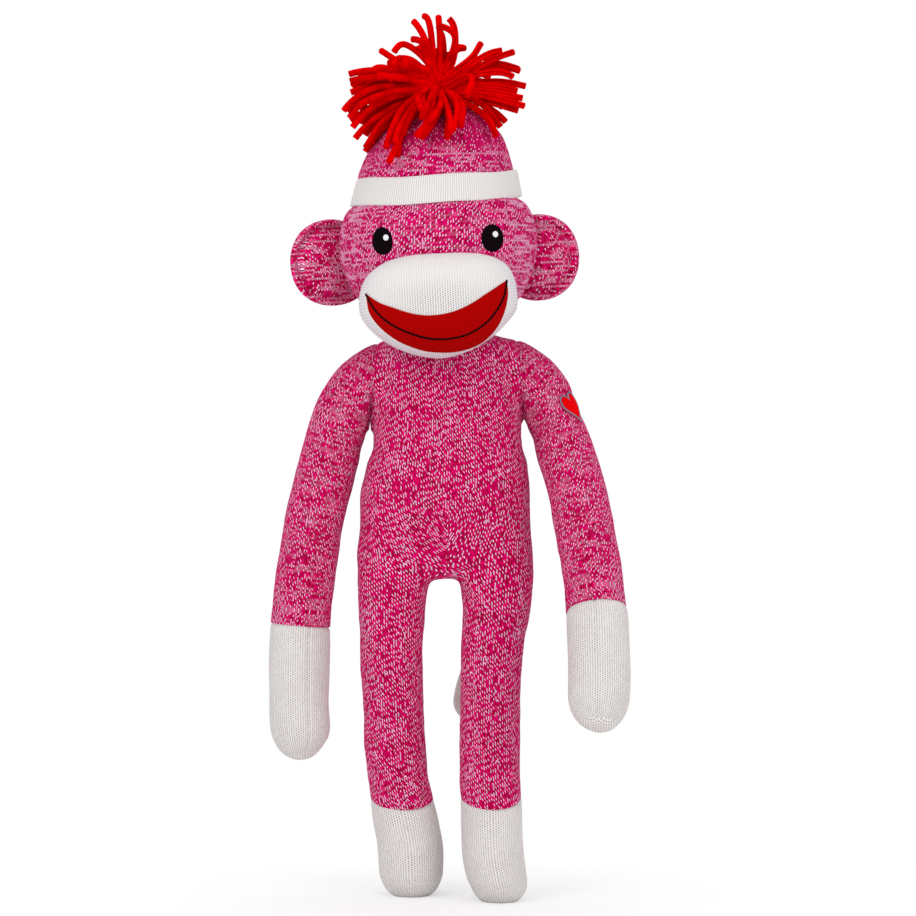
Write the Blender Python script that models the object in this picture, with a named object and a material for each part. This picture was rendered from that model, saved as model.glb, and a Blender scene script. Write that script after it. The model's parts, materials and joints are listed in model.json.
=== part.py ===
"""A stuffed sock monkey doll, standing, as its knitted covers and the fill inside them.

The doll faces -Y and stands on z = 0. Sides are the doll's own: its left arm is at +X.
"""
import math
from dataclasses import dataclass

import bmesh
import bpy
from mathutils import Matrix, Vector

MM = 0.001

# Fits
KNIT = 1.6 * MM
SEWN_GAP = 0.3 * MM
FILL_GAP = 0.7 * MM
LEG_FILL_GAP = 1.6 * MM
OVERRUN = 60 * MM

# Torso
BODY_X = 0 * MM
BODY_Y = 15.2 * MM
TORSO_TOP = 320 * MM
CROTCH_HEIGHT = 180 * MM
TORSO_WIDTH = 100 * MM
TORSO_DEPTH = 72 * MM
SHOULDER_SPAN = 83 * MM
TORSO_TOP_ROUND = 12 * MM
TORSO_SEAT_ROUND = 16 * MM
SEAT_SHIFT = 6 * MM
TORSO_WIDTH_SHARES = ((0.42, 0), (0.47, 0.26), (0.55, 0.54), (0.67, 0.8), (0.78, 0.84), (0.91, 1), (1, 1))
TORSO_DEPTH_SHARES = (
    (0, 0.5), (0.11, 0.6), (0.2, 0.75), (0.36, 0.9), (0.6, 1), (0.77, 0.8), (0.9, 0.64), (1, 0.6),
)
SEAT_SHIFT_SHARES = ((0, 0), (0.55, 0), (0.78, 0.8), (1, 1))

# Neck and head, with heights counted from the neck's pivot
NECK_HEIGHT = 321 * MM
NECK_RADIUS = 15 * MM
HEAD_X = -2 * MM
HEAD_WIDTH = 112.8 * MM
HEAD_DEPTH = 102 * MM
HEAD_CROWN_RISE = 89.2 * MM
HEAD_WIDEST_RISE = 49.2 * MM
HEAD_BASE_RISE = 2.4 * MM
HEAD_ROLL = math.radians(3)

# Muzzle, mouth and eyes, on the head
MUZZLE_X = -4 * MM
MUZZLE_Y = -38 * MM
MUZZLE_TOP_RISE = 46.5 * MM
MUZZLE_HEIGHT = 60 * MM
MUZZLE_WIDTH = 91.4 * MM
MUZZLE_DEPTH = 76 * MM
MUZZLE_TOP_ROUND = 18 * MM
MUZZLE_BACK = 32 * MM
MOUTH_X = -4.7 * MM
MOUTH_RISE = 27.4 * MM
MOUTH_SPAN = 81 * MM
MOUTH_TILT = math.radians(2.5)
UPPER_LIP_SAG = 16.4 * MM
LOWER_LIP_SAG = 37 * MM
SMILE_SAG = 30.3 * MM
SMILE_WIDTH = 1.6 * MM
MOUTH_THICKNESS = 1.2 * MM
STITCH_THICKNESS = 0.8 * MM
EYE_WIDTH = 12 * MM
EYE_HEIGHT = 16 * MM
EYE_THICKNESS = 1.2 * MM
RIGHT_EYE_X = -34.1 * MM
RIGHT_EYE_RISE = 55.2 * MM
LEFT_EYE_X = 28.9 * MM
LEFT_EYE_RISE = 53.6 * MM
GLINT_WIDTH = 3 * MM
GLINT_SIDE = 1.9 * MM
GLINT_RISE = 2.2 * MM
GLINT_THICKNESS = 0.6 * MM

# Ears
EAR_HEIGHT = 49 * MM
EAR_WIDTH = 50 * MM
EAR_THICKNESS = 16 * MM
EAR_Y = 2 * MM
EAR_SEAM_INSET = 2.5 * MM
EAR_FLOP = math.radians(20)
RIGHT_EAR_OUT = 29.5 * MM
RIGHT_EAR_RISE = 45.6 * MM
LEFT_EAR_OUT = 25.5 * MM
LEFT_EAR_RISE = 39.9 * MM

# Hat, with heights counted from the neck's pivot
HAT_TOP_RISE = 132 * MM
HAT_EDGE_RISE = 83 * MM
HAT_WIDTH = 89 * MM
HAT_DEPTH = 84 * MM
HAT_DOME = 50 * MM
CUFF_EDGE_RISE = 76 * MM
CUFF_HEIGHT = 16 * MM
CUFF_LOWER_WIDTH = 97 * MM
CUFF_UPPER_WIDTH = 92.6 * MM
CUFF_THICKNESS = 1.8 * MM
CUFF_ROUND = 0.5 * MM

# Pompom
TIE_RADIUS = 2.5 * MM
TIE_HEIGHT = 3 * MM
POMPOM_CORE_RADIUS = 8 * MM
STRAND_RADIUS = 2.3 * MM
STRAND_LENGTH = 40 * MM
STRAND_DROOP = 26 * MM
STRAND_LOWEST_SHARE = -0.3
STRAND_STEPS = 4

# Arms, with places measured out from the shoulder seam
SHOULDER_HEIGHT = 295 * MM
ARM_TOP = 316.3 * MM
ARM_LENGTH = 239 * MM
ARM_WIDTH = 36 * MM
ARM_DEPTH = 34 * MM
ARM_ROOT_OUT = 1.2 * MM
ARM_SPLAY = 42 * MM
ARM_TOP_ROUND = 18.5 * MM
HAND_ROUND = 24 * MM
WRIST_HEIGHT = 155.5 * MM
LEFT_ARM_SWING = math.radians(23)
ARM_WIDTH_SHARES = ((0, 1), (0.25, 1), (0.38, 0.96), (1, 0.95))
ARM_SPLAY_SHARES = (
    (0, 0), (0.09, 0.14), (0.2, 0.43), (0.32, 0.65), (0.49, 0.84), (0.7, 0.98), (0.87, 0.98), (1, 0.94),
)

# Heart on the left arm
HEART_WIDTH = 18 * MM
HEART_HEIGHT = 17.5 * MM
HEART_CENTRE_HEIGHT = 279 * MM
HEART_TURN = math.radians(48)
HEART_LEAN = math.radians(-20)
HEART_THICKNESS = 0.9 * MM
HEART_BORDER = 2 * MM

# Legs
HIP_HEIGHT = 193 * MM
HIP_RADIUS = 19.5 * MM
HIP_SPREAD = 29 * MM
LEG_WIDTH = 41.2 * MM
KNUCKLE_CORNER = 5 * MM
ANKLE_HEIGHT = 51 * MM
SOLE_CUT = 0.5 * MM
FOOT_ROUND = 8 * MM
LEG_CROWDING = 1.5
FOOT_DEPTH = 50 * MM
FOOT_BACK = 4 * MM
LEG_BACK_SWING = math.radians(10)
BELLY_CLEARANCE = math.radians(4)
RIGHT_FOOT_DRIFT = 10.5 * MM
LEFT_FOOT_DRIFT = 4 * MM
LEFT_FOOT_STEP = 24 * MM
LEG_WIDTH_SHARES = (
    (0, 1), (0.09, 1), (0.21, 0.94), (0.34, 0.885), (0.47, 0.86), (0.71, 0.85), (0.78, 0.895),
    (0.845, 0.94), (0.905, 0.92), (1, 0.86),
)
FOOT_SHARES = ((0, 0), (0.15, 0), (0.6, -0.12), (0.72, 0), (0.8, 0.45), (0.87, 0.9), (0.93, 1), (1, 0.95))
RIGHT_DRIFT_SHARES = ((0, 0), (0.2, -0.1), (0.34, 0), (0.64, 0.08), (0.75, 0.41), (0.88, 0.85), (1, 1))
LEFT_DRIFT_SHARES = ((0, 0), (0.2, 0), (0.34, 0.5), (0.6, 0.9), (0.75, 0.6), (0.88, 0.3), (1, -0.5))
STEP_SHARES = ((0, 0), (0.1, 0), (0.5, 0.45), (0.75, 0.85), (1, 1))

# Tail
TAIL_ROOT_RADIUS = 6.5 * MM
TAIL_ROOT_HEIGHT = 222 * MM
TAIL_LENGTH = 133 * MM
TAIL_WIDTH = 21 * MM
TAIL_TIP_ROUND = 13 * MM
TAIL_SIDE = 20 * MM
TAIL_BACK = 9 * MM
TAIL_TIP_LENGTH = 38 * MM
TAIL_WIDTH_SHARES = ((0, 0.62), (0.12, 0.66), (0.3, 0.9), (0.6, 1), (1, 1))
TAIL_SIDE_SHARES = ((0, 0), (0.1, 0.08), (0.35, 0.9), (0.6, 1), (0.85, 0.74), (1, 0.6))
TAIL_BACK_SHARES = ((0, 0), (0.1, 0.05), (0.4, 0.9), (0.7, 1), (1, 0.6))

# Mesh counts
BODY_SIDES = 20
LIMB_SIDES = 16
BODY_ROWS = 14
LIMB_ROWS = 17
SMALL_SIDES = 14
SMALL_ROWS = 8
HIP_STEPS = 8

# Colours as red, green and blue on a screen, from 0 to 255
MARL_PINK = (200, 66, 118)
WHITE_KNIT = (236, 232, 229)
LIP_RED = (190, 4, 6)
YARN_RED = (214, 2, 4)
BLACK_THREAD = (24, 18, 22)
HEART_RED = (226, 8, 11)
SLATE_THREAD = (96, 104, 132)
FILL_WHITE = (240, 240, 238)


@dataclass
class Form:
    """A stuffed form, oval in plan, whose size and place change smoothly from top to bottom."""

    top: float
    bottom: float
    width: float
    depth: float
    x: float
    y: float
    top_round: float
    bottom_round: float
    top_width_round: float = None
    top_power: float = 2
    bottom_power: float = 2
    crowding: float = 1
    narrow_width: float = None
    widest_depth: float = None
    side_shift: float = 0
    front_shift: float = 0
    step: float = 0
    width_shares: tuple = ((0, 1), (1, 1))
    depth_shares: tuple = ((0, 1), (1, 1))
    side_shares: tuple = ((0, 0), (1, 1))
    front_shares: tuple = ((0, 0), (1, 1))
    step_shares: tuple = ((0, 0), (1, 1))

    def place(self, height):
        """How far down the form a height is, from 0 at the top to 1 at the bottom."""
        down = (self.top - height) / (self.top - self.bottom)
        return min(1, max(0, down))

    def centre(self, height):
        down = self.place(height)
        x = self.x + self.side_shift * along(self.side_shares, down)
        y = self.y + self.front_shift * along(self.front_shares, down)
        y += self.step * along(self.step_shares, down)
        return Vector((x, y, height))

    def half_width(self, height):
        """Half the width, between the narrow width, if there is one, and the full one."""
        share = along(self.width_shares, self.place(height))
        if self.narrow_width is None:
            return self.width / 2 * share
        return (self.narrow_width + (self.width - self.narrow_width) * share) / 2

    def half_depth(self, height):
        """Half the depth, between the plain depth and the widest one, if there is one."""
        share = along(self.depth_shares, self.place(height))
        if self.widest_depth is None:
            return self.depth / 2 * share
        return (self.depth + (self.widest_depth - self.depth) * share) / 2

    def point(self, height, angle, grow=0):
        """A point of the surface, moved out by grow, at an angle round from +X."""
        below_top = self.top + grow - height
        above_bottom = height - self.bottom + grow
        end = rounding(above_bottom, self.bottom_round + grow, self.bottom_power)
        width_reach = self.top_width_round or self.top_round
        wide = end * rounding(below_top, width_reach + grow, self.top_power)
        deep = end * rounding(below_top, self.top_round + grow, self.top_power)
        x = (self.half_width(height) + grow) * wide * math.cos(angle)
        y = (self.half_depth(height) + grow) * deep * math.sin(angle)
        return self.centre(height) + Vector((x, y, 0))


def along(shares, place):
    """The value at a place, on a smooth curve through pairs of place and value."""
    last = len(shares) - 1
    place = min(shares[last][0], max(shares[0][0], place))
    index = 0
    while index < last - 1 and place > shares[index + 1][0]:
        index += 1

    def slope(knot):
        """Level at a turning point, so that the curve never passes its own values."""
        before = shares[max(0, knot - 1)]
        after = shares[min(last, knot + 1)]
        turns = (shares[knot][1] - before[1]) * (after[1] - shares[knot][1]) <= 0
        if turns and 0 < knot < last:
            return 0
        return (after[1] - before[1]) / (after[0] - before[0])

    (start, first), (end, second) = shares[index], shares[index + 1]
    span = end - start
    part = (place - start) / span
    rise = part * part * (3 - 2 * part)
    leaving = part * (1 - part) ** 2 * span * slope(index)
    arriving = part * part * (part - 1) * span * slope(index + 1)
    return first + (second - first) * rise + leaving + arriving


def rounding(distance, reach, power):
    """From 0 at a form's end to 1 where its end rounding is over."""
    if distance >= reach:
        return 1
    short = 1 - max(0, distance) / reach
    return (1 - short ** power) ** (1 / power)


# The doll's forms

TORSO = Form(
    top=TORSO_TOP, bottom=CROTCH_HEIGHT, width=TORSO_WIDTH, depth=TORSO_DEPTH, x=BODY_X, y=BODY_Y,
    top_round=TORSO_TOP_ROUND, bottom_round=TORSO_SEAT_ROUND, top_power=2.6,
    narrow_width=SHOULDER_SPAN, front_shift=SEAT_SHIFT,
    width_shares=TORSO_WIDTH_SHARES, depth_shares=TORSO_DEPTH_SHARES, front_shares=SEAT_SHIFT_SHARES,
)
HEAD = Form(
    top=NECK_HEIGHT + HEAD_CROWN_RISE, bottom=NECK_HEIGHT + HEAD_BASE_RISE,
    width=HEAD_WIDTH, depth=HEAD_DEPTH, x=BODY_X + HEAD_X, y=BODY_Y,
    top_round=HEAD_CROWN_RISE - HEAD_WIDEST_RISE, bottom_round=HEAD_WIDEST_RISE - HEAD_BASE_RISE,
    top_power=2.3,
)
MUZZLE = Form(
    top=NECK_HEIGHT + MUZZLE_TOP_RISE, bottom=NECK_HEIGHT + MUZZLE_TOP_RISE - MUZZLE_HEIGHT,
    width=MUZZLE_WIDTH, depth=MUZZLE_DEPTH, x=BODY_X + MUZZLE_X, y=BODY_Y + MUZZLE_Y,
    top_round=MUZZLE_TOP_ROUND, bottom_round=MUZZLE_HEIGHT - MUZZLE_TOP_ROUND, top_power=2.3,
)
HAT = Form(
    top=NECK_HEIGHT + HAT_TOP_RISE, bottom=NECK_HEIGHT + HAT_TOP_RISE - 2 * HAT_DOME,
    width=HAT_WIDTH, depth=HAT_DEPTH, x=BODY_X, y=BODY_Y,
    top_round=HAT_DOME, bottom_round=HAT_DOME,
)


def arm_form(side):
    """An arm and its hand hanging straight down; side is -1 for the right and 1 for the left."""
    return Form(
        top=ARM_TOP, bottom=ARM_TOP - ARM_LENGTH, width=ARM_WIDTH, depth=ARM_DEPTH,
        x=BODY_X + side * (SHOULDER_SPAN / 2 + ARM_ROOT_OUT), y=BODY_Y,
        top_round=ARM_TOP_ROUND, bottom_round=HAND_ROUND, bottom_power=1.8,
        side_shift=side * ARM_SPLAY, width_shares=ARM_WIDTH_SHARES, depth_shares=ARM_WIDTH_SHARES,
        side_shares=ARM_SPLAY_SHARES,
    )


def leg_form(side, drift, drift_shares, step):
    """A leg and its foot, from the round top that turns in the hip to the sole."""
    return Form(
        top=HIP_HEIGHT + HIP_RADIUS, bottom=-SOLE_CUT, width=LEG_WIDTH, depth=2 * HIP_RADIUS,
        x=BODY_X + side * HIP_SPREAD, y=BODY_Y, top_round=HIP_RADIUS, bottom_round=FOOT_ROUND,
        top_width_round=KNUCKLE_CORNER, widest_depth=FOOT_DEPTH, bottom_power=4, crowding=LEG_CROWDING,
        side_shift=-side * drift, front_shift=FOOT_BACK, step=-step,
        width_shares=LEG_WIDTH_SHARES, depth_shares=FOOT_SHARES, side_shares=drift_shares,
        front_shares=FOOT_SHARES, step_shares=STEP_SHARES,
    )


def ear_form(side, out, rise):
    """An ear, a flat round pad at the side of the head."""
    height = NECK_HEIGHT + rise
    outer = BODY_X + HEAD_X + side * (HEAD_WIDTH / 2 + out)
    return Form(
        top=height + EAR_HEIGHT / 2, bottom=height - EAR_HEIGHT / 2, width=EAR_WIDTH, depth=EAR_THICKNESS,
        x=outer - side * EAR_WIDTH / 2, y=BODY_Y + EAR_Y, top_round=EAR_HEIGHT / 2, bottom_round=EAR_HEIGHT / 2,
    )


def tail_form():
    """The tail, hanging from its seam on the back, down behind the left leg."""
    back = TORSO.point(TAIL_ROOT_HEIGHT, math.pi / 2).y
    return Form(
        top=TAIL_ROOT_HEIGHT + TAIL_ROOT_RADIUS, bottom=TAIL_ROOT_HEIGHT + TAIL_ROOT_RADIUS - TAIL_LENGTH,
        width=TAIL_WIDTH, depth=TAIL_WIDTH, x=BODY_X, y=back + SEWN_GAP + TAIL_ROOT_RADIUS,
        top_round=TAIL_ROOT_RADIUS, bottom_round=TAIL_TIP_ROUND,
        side_shift=TAIL_SIDE, front_shift=TAIL_BACK,
        width_shares=TAIL_WIDTH_SHARES, depth_shares=TAIL_WIDTH_SHARES,
        side_shares=TAIL_SIDE_SHARES, front_shares=TAIL_BACK_SHARES,
    )


# Making and placing pieces

def clear_scene():
    for old in list(bpy.data.objects):
        bpy.data.objects.remove(old, do_unlink=True)


def new_collection(name):
    collection = bpy.data.collections.new(name)
    bpy.context.scene.collection.children.link(collection)
    return collection


def material(name, colour, roughness=0.9):
    """A cloth finish from a colour as seen on a screen."""
    linear = [(((part / 255) + 0.055) / 1.055) ** 2.4 if part > 10 else part / 255 / 12.92 for part in colour]
    made = bpy.data.materials.new(name)
    made.use_nodes = True
    shader = made.node_tree.nodes["Principled BSDF"]
    shader.inputs["Base Color"].default_value = (*linear, 1)
    shader.inputs["Roughness"].default_value = roughness
    shader.inputs["Metallic"].default_value = 0
    return made


def add_object(name, bm, pivot=None):
    """A mesh object, hung on a pivot where it has one, with its own origin there."""
    mesh = bpy.data.meshes.new(name)
    if pivot:
        bmesh.ops.translate(bm, verts=bm.verts, vec=-pivot.location)
    bmesh.ops.recalc_face_normals(bm, faces=bm.faces)
    bm.to_mesh(mesh)
    bm.free()
    made = bpy.data.objects.new(name, mesh)
    made.parent = pivot
    return made


def add_piece(name, bm, colour, pivot=None, roughness=0.9):
    """A real piece of the doll, with its own finish."""
    made = add_object(name, bm, pivot)
    made.data.materials.append(material(name, colour, roughness))
    made.data.shade_smooth()
    made.data.set_sharp_from_angle(angle=math.radians(50))
    DOLL.objects.link(made)
    return made


def add_cutter(name, bm, pivot=None):
    made = add_object(name, bm, pivot)
    made.hide_render = True
    made.display_type = "WIRE"
    CUTTERS.objects.link(made)
    return made


def combine(piece, other, operation):
    """Cut a piece with another, keep what they share, or join them."""
    boolean = piece.modifiers.new(operation.title() + " " + other.name, "BOOLEAN")
    boolean.operation = operation
    boolean.solver = "EXACT"
    boolean.object = other
    return boolean


def cut(piece, *cutters):
    for cutter in cutters:
        combine(piece, cutter, "DIFFERENCE")
    return piece


def add_pivot(name, location, parent=None, roll=0):
    """An empty on a joint's axis."""
    pivot = bpy.data.objects.new(name, None)
    pivot.location = location
    pivot.rotation_euler.y = roll
    pivot.parent = parent
    DOLL.objects.link(pivot)
    return pivot


def form_bm(form, sides, rows, grow=0):
    """A form's mesh: a sphere whose rows are laid down the form, closer together at its ends."""
    bm = bmesh.new()
    bmesh.ops.create_uvsphere(bm, u_segments=sides, v_segments=rows, radius=1)
    middle = (form.top + form.bottom) / 2
    reach = (form.top - form.bottom) / 2 + grow
    for vert in bm.verts:
        angle = math.atan2(vert.co.y, vert.co.x)
        share = 1 - (1 - min(1, abs(vert.co.z))) ** form.crowding
        vert.co = form.point(middle + math.copysign(share, vert.co.z) * reach, angle, grow)
    return bm


def box_bm(low, high):
    bm = bmesh.new()
    bmesh.ops.create_cube(bm, size=1)
    low, high = Vector(low), Vector(high)
    for vert in bm.verts:
        vert.co = (low + high) / 2 + Vector(part * size for part, size in zip(vert.co, high - low))
    return bm


def ball_bm(centre, radius, sides, rows):
    bm = bmesh.new()
    bmesh.ops.create_uvsphere(bm, u_segments=sides, v_segments=rows, radius=radius)
    bmesh.ops.translate(bm, verts=bm.verts, vec=centre)
    return bm


def prism_bm(outline, place, length):
    """An outline in x and z pushed along -Y, then put in its place."""
    bm = bmesh.new()
    face = bm.faces.new([bm.verts.new((x, 0, z)) for x, z in outline])
    pushed = bmesh.ops.extrude_face_region(bm, geom=[face])
    moved = [item for item in pushed["geom"] if isinstance(item, bmesh.types.BMVert)]
    bmesh.ops.translate(bm, verts=moved, vec=(0, -length, 0))
    bmesh.ops.transform(bm, matrix=place, verts=bm.verts)
    bmesh.ops.recalc_face_normals(bm, faces=bm.faces)
    return bm


def everything_above(height, name, pivot=None):
    top = NECK_HEIGHT + HAT_TOP_RISE + OVERRUN
    reach = TORSO_WIDTH + OVERRUN
    return add_cutter(name, box_bm((-reach, -reach, height), (reach, reach, top)), pivot)


def everything_below(height, name, pivot=None):
    reach = TORSO_WIDTH + OVERRUN
    return add_cutter(name, box_bm((-reach, -reach, -reach), (reach, reach, height)), pivot)


def add_cover(name, form, colour, counts, pivot=None):
    """A form's knitted cover, with the hollow for its fill cut out."""
    sides, rows = counts
    cover = add_piece(name, form_bm(form, sides, rows), colour, pivot)
    hollow = add_cutter(name + "_hollow", form_bm(form, sides, rows, -KNIT), pivot)
    return cover, hollow


def add_fill(name, form, counts, pivot=None, gap=FILL_GAP):
    """The stuffing inside a cover, with half as many sides, so that it stays inside its walls."""
    sides, rows = counts
    return add_piece(name, form_bm(form, sides // 2, rows, -KNIT - gap), FILL_WHITE, pivot, roughness=1)


def add_patch(name, form, counts, outline, place, lift, thickness, colour, pivot):
    """A flat piece sewn on a form: the part of a slightly larger form inside an outline."""
    sides, rows = counts
    patch = add_piece(name, form_bm(form, sides, rows, lift + thickness), colour, pivot)
    prism = add_cutter(name + "_outline", prism_bm(outline, place, OVERRUN), pivot)
    under = add_cutter(name + "_under", form_bm(form, sides, rows, lift), pivot)
    combine(patch, prism, "INTERSECT")
    return cut(patch, under)


# Outlines

def oval(width, height, count=16):
    """An upright oval, as points round its middle."""
    turns = [2 * math.pi * step / count for step in range(count)]
    return [(width / 2 * math.cos(turn), height / 2 * math.sin(turn)) for turn in turns]


def crescent(span, upper_sag, lower_sag, upper_power, lower_power, steps=9):
    """A smile between two corners, hanging by two sags below the line that joins them."""
    places = [math.cos(math.pi * step / steps) for step in range(steps + 1)]
    lower = [(span / 2 * place, -lower_sag * (1 - place * place) ** lower_power) for place in places]
    upper = [(span / 2 * place, -upper_sag * (1 - place * place) ** upper_power) for place in places]
    return lower + upper[-2:0:-1]


def heart(width, height, count=20):
    """The usual heart curve, as points round its middle."""
    points = []
    for step in range(count):
        turn = 2 * math.pi * step / count
        side = math.sin(turn) ** 3
        rise = (13 * math.cos(turn) - 5 * math.cos(2 * turn) - 2 * math.cos(3 * turn) - math.cos(4 * turn)) / 29
        points.append((width / 2 * side, height * rise))
    return points


# The pieces

def hip_sweep(side, gap):
    """The space that a leg needs to swing forward to sitting and a little back."""
    radius = HIP_RADIUS + gap
    far = HIP_HEIGHT + OVERRUN
    outline = [(-far, radius + far * math.tan(BELLY_CLEARANCE))]
    for step in range(HIP_STEPS + 1):
        turn = math.pi / 2 - (math.pi / 2 - LEG_BACK_SWING) * step / HIP_STEPS
        outline.append((radius * math.cos(turn), radius * math.sin(turn)))
    back, down = outline[-1]
    outline.append((back + far * math.sin(LEG_BACK_SWING), down - far * math.cos(LEG_BACK_SWING)))
    outline.append((-far, -far))
    inner = BODY_X + side * (HIP_SPREAD - LEG_WIDTH / 2 - gap)
    place = Matrix.Translation((inner, BODY_Y, HIP_HEIGHT)) @ Matrix.Rotation(side * math.pi / 2, 4, "Z")
    return prism_bm([(side * y, z) for y, z in outline], place, TORSO_WIDTH)


def build_torso():
    counts = (BODY_SIDES, BODY_ROWS)
    cover, hollow = add_cover("torso_cover", TORSO, MARL_PINK, counts)
    fill = add_fill("torso_stuffing", TORSO, counts)
    neck = Vector((BODY_X, BODY_Y, NECK_HEIGHT))
    dish = add_cutter("neck_dish", ball_bm(neck, NECK_RADIUS + SEWN_GAP, BODY_SIDES, 2 * SMALL_ROWS))
    for label, side in (("right", -1), ("left", 1)):
        cut(cover, add_cutter(label + "_hip_space", hip_sweep(side, SEWN_GAP)))
        cut(hollow, add_cutter(label + "_hip_wall", hip_sweep(side, SEWN_GAP + KNIT)))
        cut(fill, add_cutter(label + "_hip_lining", hip_sweep(side, SEWN_GAP + KNIT + FILL_GAP)))
    cut(cover, hollow, dish)
    cut(fill, dish)


def build_neck(pivot):
    """The firm wad that the head is sewn round, a ball that the head nods on."""
    neck = Vector((BODY_X, BODY_Y, NECK_HEIGHT))
    add_piece("neck_plug", ball_bm(neck, NECK_RADIUS, LIMB_SIDES, SMALL_ROWS), FILL_WHITE, pivot, roughness=1)


def build_head(pivot):
    counts = (BODY_SIDES, BODY_ROWS)
    neck = Vector((BODY_X, BODY_Y, NECK_HEIGHT))
    socket = add_cutter("neck_socket", ball_bm(neck, NECK_RADIUS + SEWN_GAP, BODY_SIDES, 2 * SMALL_ROWS), pivot)
    cover, hollow = add_cover("head_cover", HEAD, MARL_PINK, counts, pivot)
    cut(cover, hollow, socket)
    cut(add_fill("head_stuffing", HEAD, counts, pivot), socket)


def build_muzzle(pivot):
    counts = (BODY_SIDES, BODY_ROWS)
    head = add_cutter("muzzle_seat", form_bm(HEAD, BODY_SIDES, BODY_ROWS, SEWN_GAP), pivot)
    reach = HEAD_WIDTH
    low = (-reach, BODY_Y - MUZZLE_BACK, NECK_HEIGHT - reach)
    back = add_cutter("muzzle_back", box_bm(low, (reach, reach, NECK_HEIGHT + reach)), pivot)
    cover, hollow = add_cover("muzzle_cover", MUZZLE, WHITE_KNIT, counts, pivot)
    cut(cover, hollow, head, back)
    cut(add_fill("muzzle_stuffing", MUZZLE, counts, pivot), head, back)


def build_mouth(pivot):
    """The red mouth panel and the black stitched smile line on it."""
    counts = (BODY_SIDES, BODY_ROWS)
    centre = (BODY_X + MOUTH_X, BODY_Y + MUZZLE_Y, NECK_HEIGHT + MOUTH_RISE)
    place = Matrix.Translation(centre) @ Matrix.Rotation(-MOUTH_TILT, 4, "Y")
    panel = crescent(MOUTH_SPAN, UPPER_LIP_SAG, LOWER_LIP_SAG, 1, 0.5)
    line = crescent(MOUTH_SPAN - SMILE_WIDTH, SMILE_SAG - SMILE_WIDTH, SMILE_SAG, 0.7, 0.7)
    add_patch("mouth_panel", MUZZLE, counts, panel, place, SEWN_GAP, MOUTH_THICKNESS, LIP_RED, pivot)
    lift = SEWN_GAP + MOUTH_THICKNESS + SEWN_GAP
    add_patch("smile_stitching", MUZZLE, counts, line, place, lift, STITCH_THICKNESS, BLACK_THREAD, pivot)


def build_eye(label, x, rise, pivot):
    counts = (BODY_SIDES, BODY_ROWS)
    place = Matrix.Translation((BODY_X + x, BODY_Y, NECK_HEIGHT + rise))
    add_patch(label + "_eye", HEAD, counts, oval(EYE_WIDTH, EYE_HEIGHT), place, SEWN_GAP, EYE_THICKNESS,
              BLACK_THREAD, pivot)
    lift = SEWN_GAP + EYE_THICKNESS + SEWN_GAP
    glint_place = place @ Matrix.Translation((GLINT_SIDE, 0, GLINT_RISE))
    add_patch(label + "_eye_glint", HEAD, counts, oval(GLINT_WIDTH, GLINT_WIDTH, 10), glint_place, lift,
              GLINT_THICKNESS, WHITE_KNIT, pivot)


def build_ear(label, side, out, rise, head_pivot):
    """An ear whose root is cut back, so that it can flop both ways against the head."""
    form = ear_form(side, out, rise)
    seam_x = BODY_X + HEAD_X + side * (HEAD_WIDTH / 2 - EAR_SEAM_INSET)
    seam = Vector((seam_x, BODY_Y + EAR_Y, NECK_HEIGHT + rise))
    pivot = add_pivot(label + "_ear_seam", seam - head_pivot.location, head_pivot)
    ear = add_piece(label + "_ear", moved(form_bm(form, SMALL_SIDES, SMALL_ROWS), -head_pivot.location),
                    MARL_PINK, pivot)
    for turn in (-EAR_FLOP, 0, EAR_FLOP):
        bm = form_bm(HEAD, BODY_SIDES, BODY_ROWS, SEWN_GAP)
        swing = Matrix.Translation(seam) @ Matrix.Rotation(turn, 4, "Z") @ Matrix.Translation(-seam)
        bmesh.ops.transform(bm, matrix=swing, verts=bm.verts)
        degrees = round(math.degrees(turn))
        cut(ear, add_cutter(f"{label}_ear_root_{degrees}", moved(bm, -head_pivot.location), pivot))


def moved(bm, by):
    bmesh.ops.translate(bm, verts=bm.verts, vec=by)
    return bm


def build_hat(pivot):
    """The knitted crown over its fill, with the ribbed cuff round its edge."""
    counts = (BODY_SIDES, BODY_ROWS)
    head = add_cutter("hat_seat", form_bm(HEAD, BODY_SIDES, BODY_ROWS, SEWN_GAP), pivot)
    below = everything_below(NECK_HEIGHT + HAT_EDGE_RISE, "hat_edge", pivot)
    crown, hollow = add_cover("hat_crown", HAT, MARL_PINK, counts, pivot)
    cut(crown, hollow, below)
    cut(add_fill("hat_stuffing", HAT, counts, pivot), head, below)
    crown_seat = add_cutter("cuff_seat", form_bm(HAT, BODY_SIDES, BODY_ROWS, SEWN_GAP), pivot)
    cut(build_cuff(pivot), head, crown_seat)


def build_cuff(pivot):
    """The cuff, a turned band, narrower at its top."""
    lower, upper = CUFF_LOWER_WIDTH / 2, CUFF_UPPER_WIDTH / 2
    profile = [
        (upper - CUFF_THICKNESS, CUFF_HEIGHT), (upper - CUFF_ROUND, CUFF_HEIGHT),
        (upper, CUFF_HEIGHT - CUFF_ROUND), (lower, CUFF_ROUND), (lower - CUFF_ROUND, 0),
        (lower - CUFF_THICKNESS, 0),
    ]
    bm = bmesh.new()
    verts = [bm.verts.new((radius, 0, rise)) for radius, rise in profile]
    for first, second in zip(verts, verts[1:] + verts[:1]):
        bm.edges.new((first, second))
    bmesh.ops.spin(bm, geom=bm.verts[:] + bm.edges[:], cent=(0, 0, 0), axis=(0, 0, 1),
                   angle=2 * math.pi, steps=BODY_SIDES, use_merge=True)
    squash = HAT_DEPTH / HAT_WIDTH
    bmesh.ops.scale(bm, vec=(1, squash, 1), verts=bm.verts)
    bmesh.ops.translate(bm, verts=bm.verts, vec=(BODY_X, BODY_Y, NECK_HEIGHT + CUFF_EDGE_RISE))
    bmesh.ops.remove_doubles(bm, verts=bm.verts, dist=CUFF_ROUND / 10)
    return add_piece("hat_cuff", bm, WHITE_KNIT, pivot)


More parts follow.
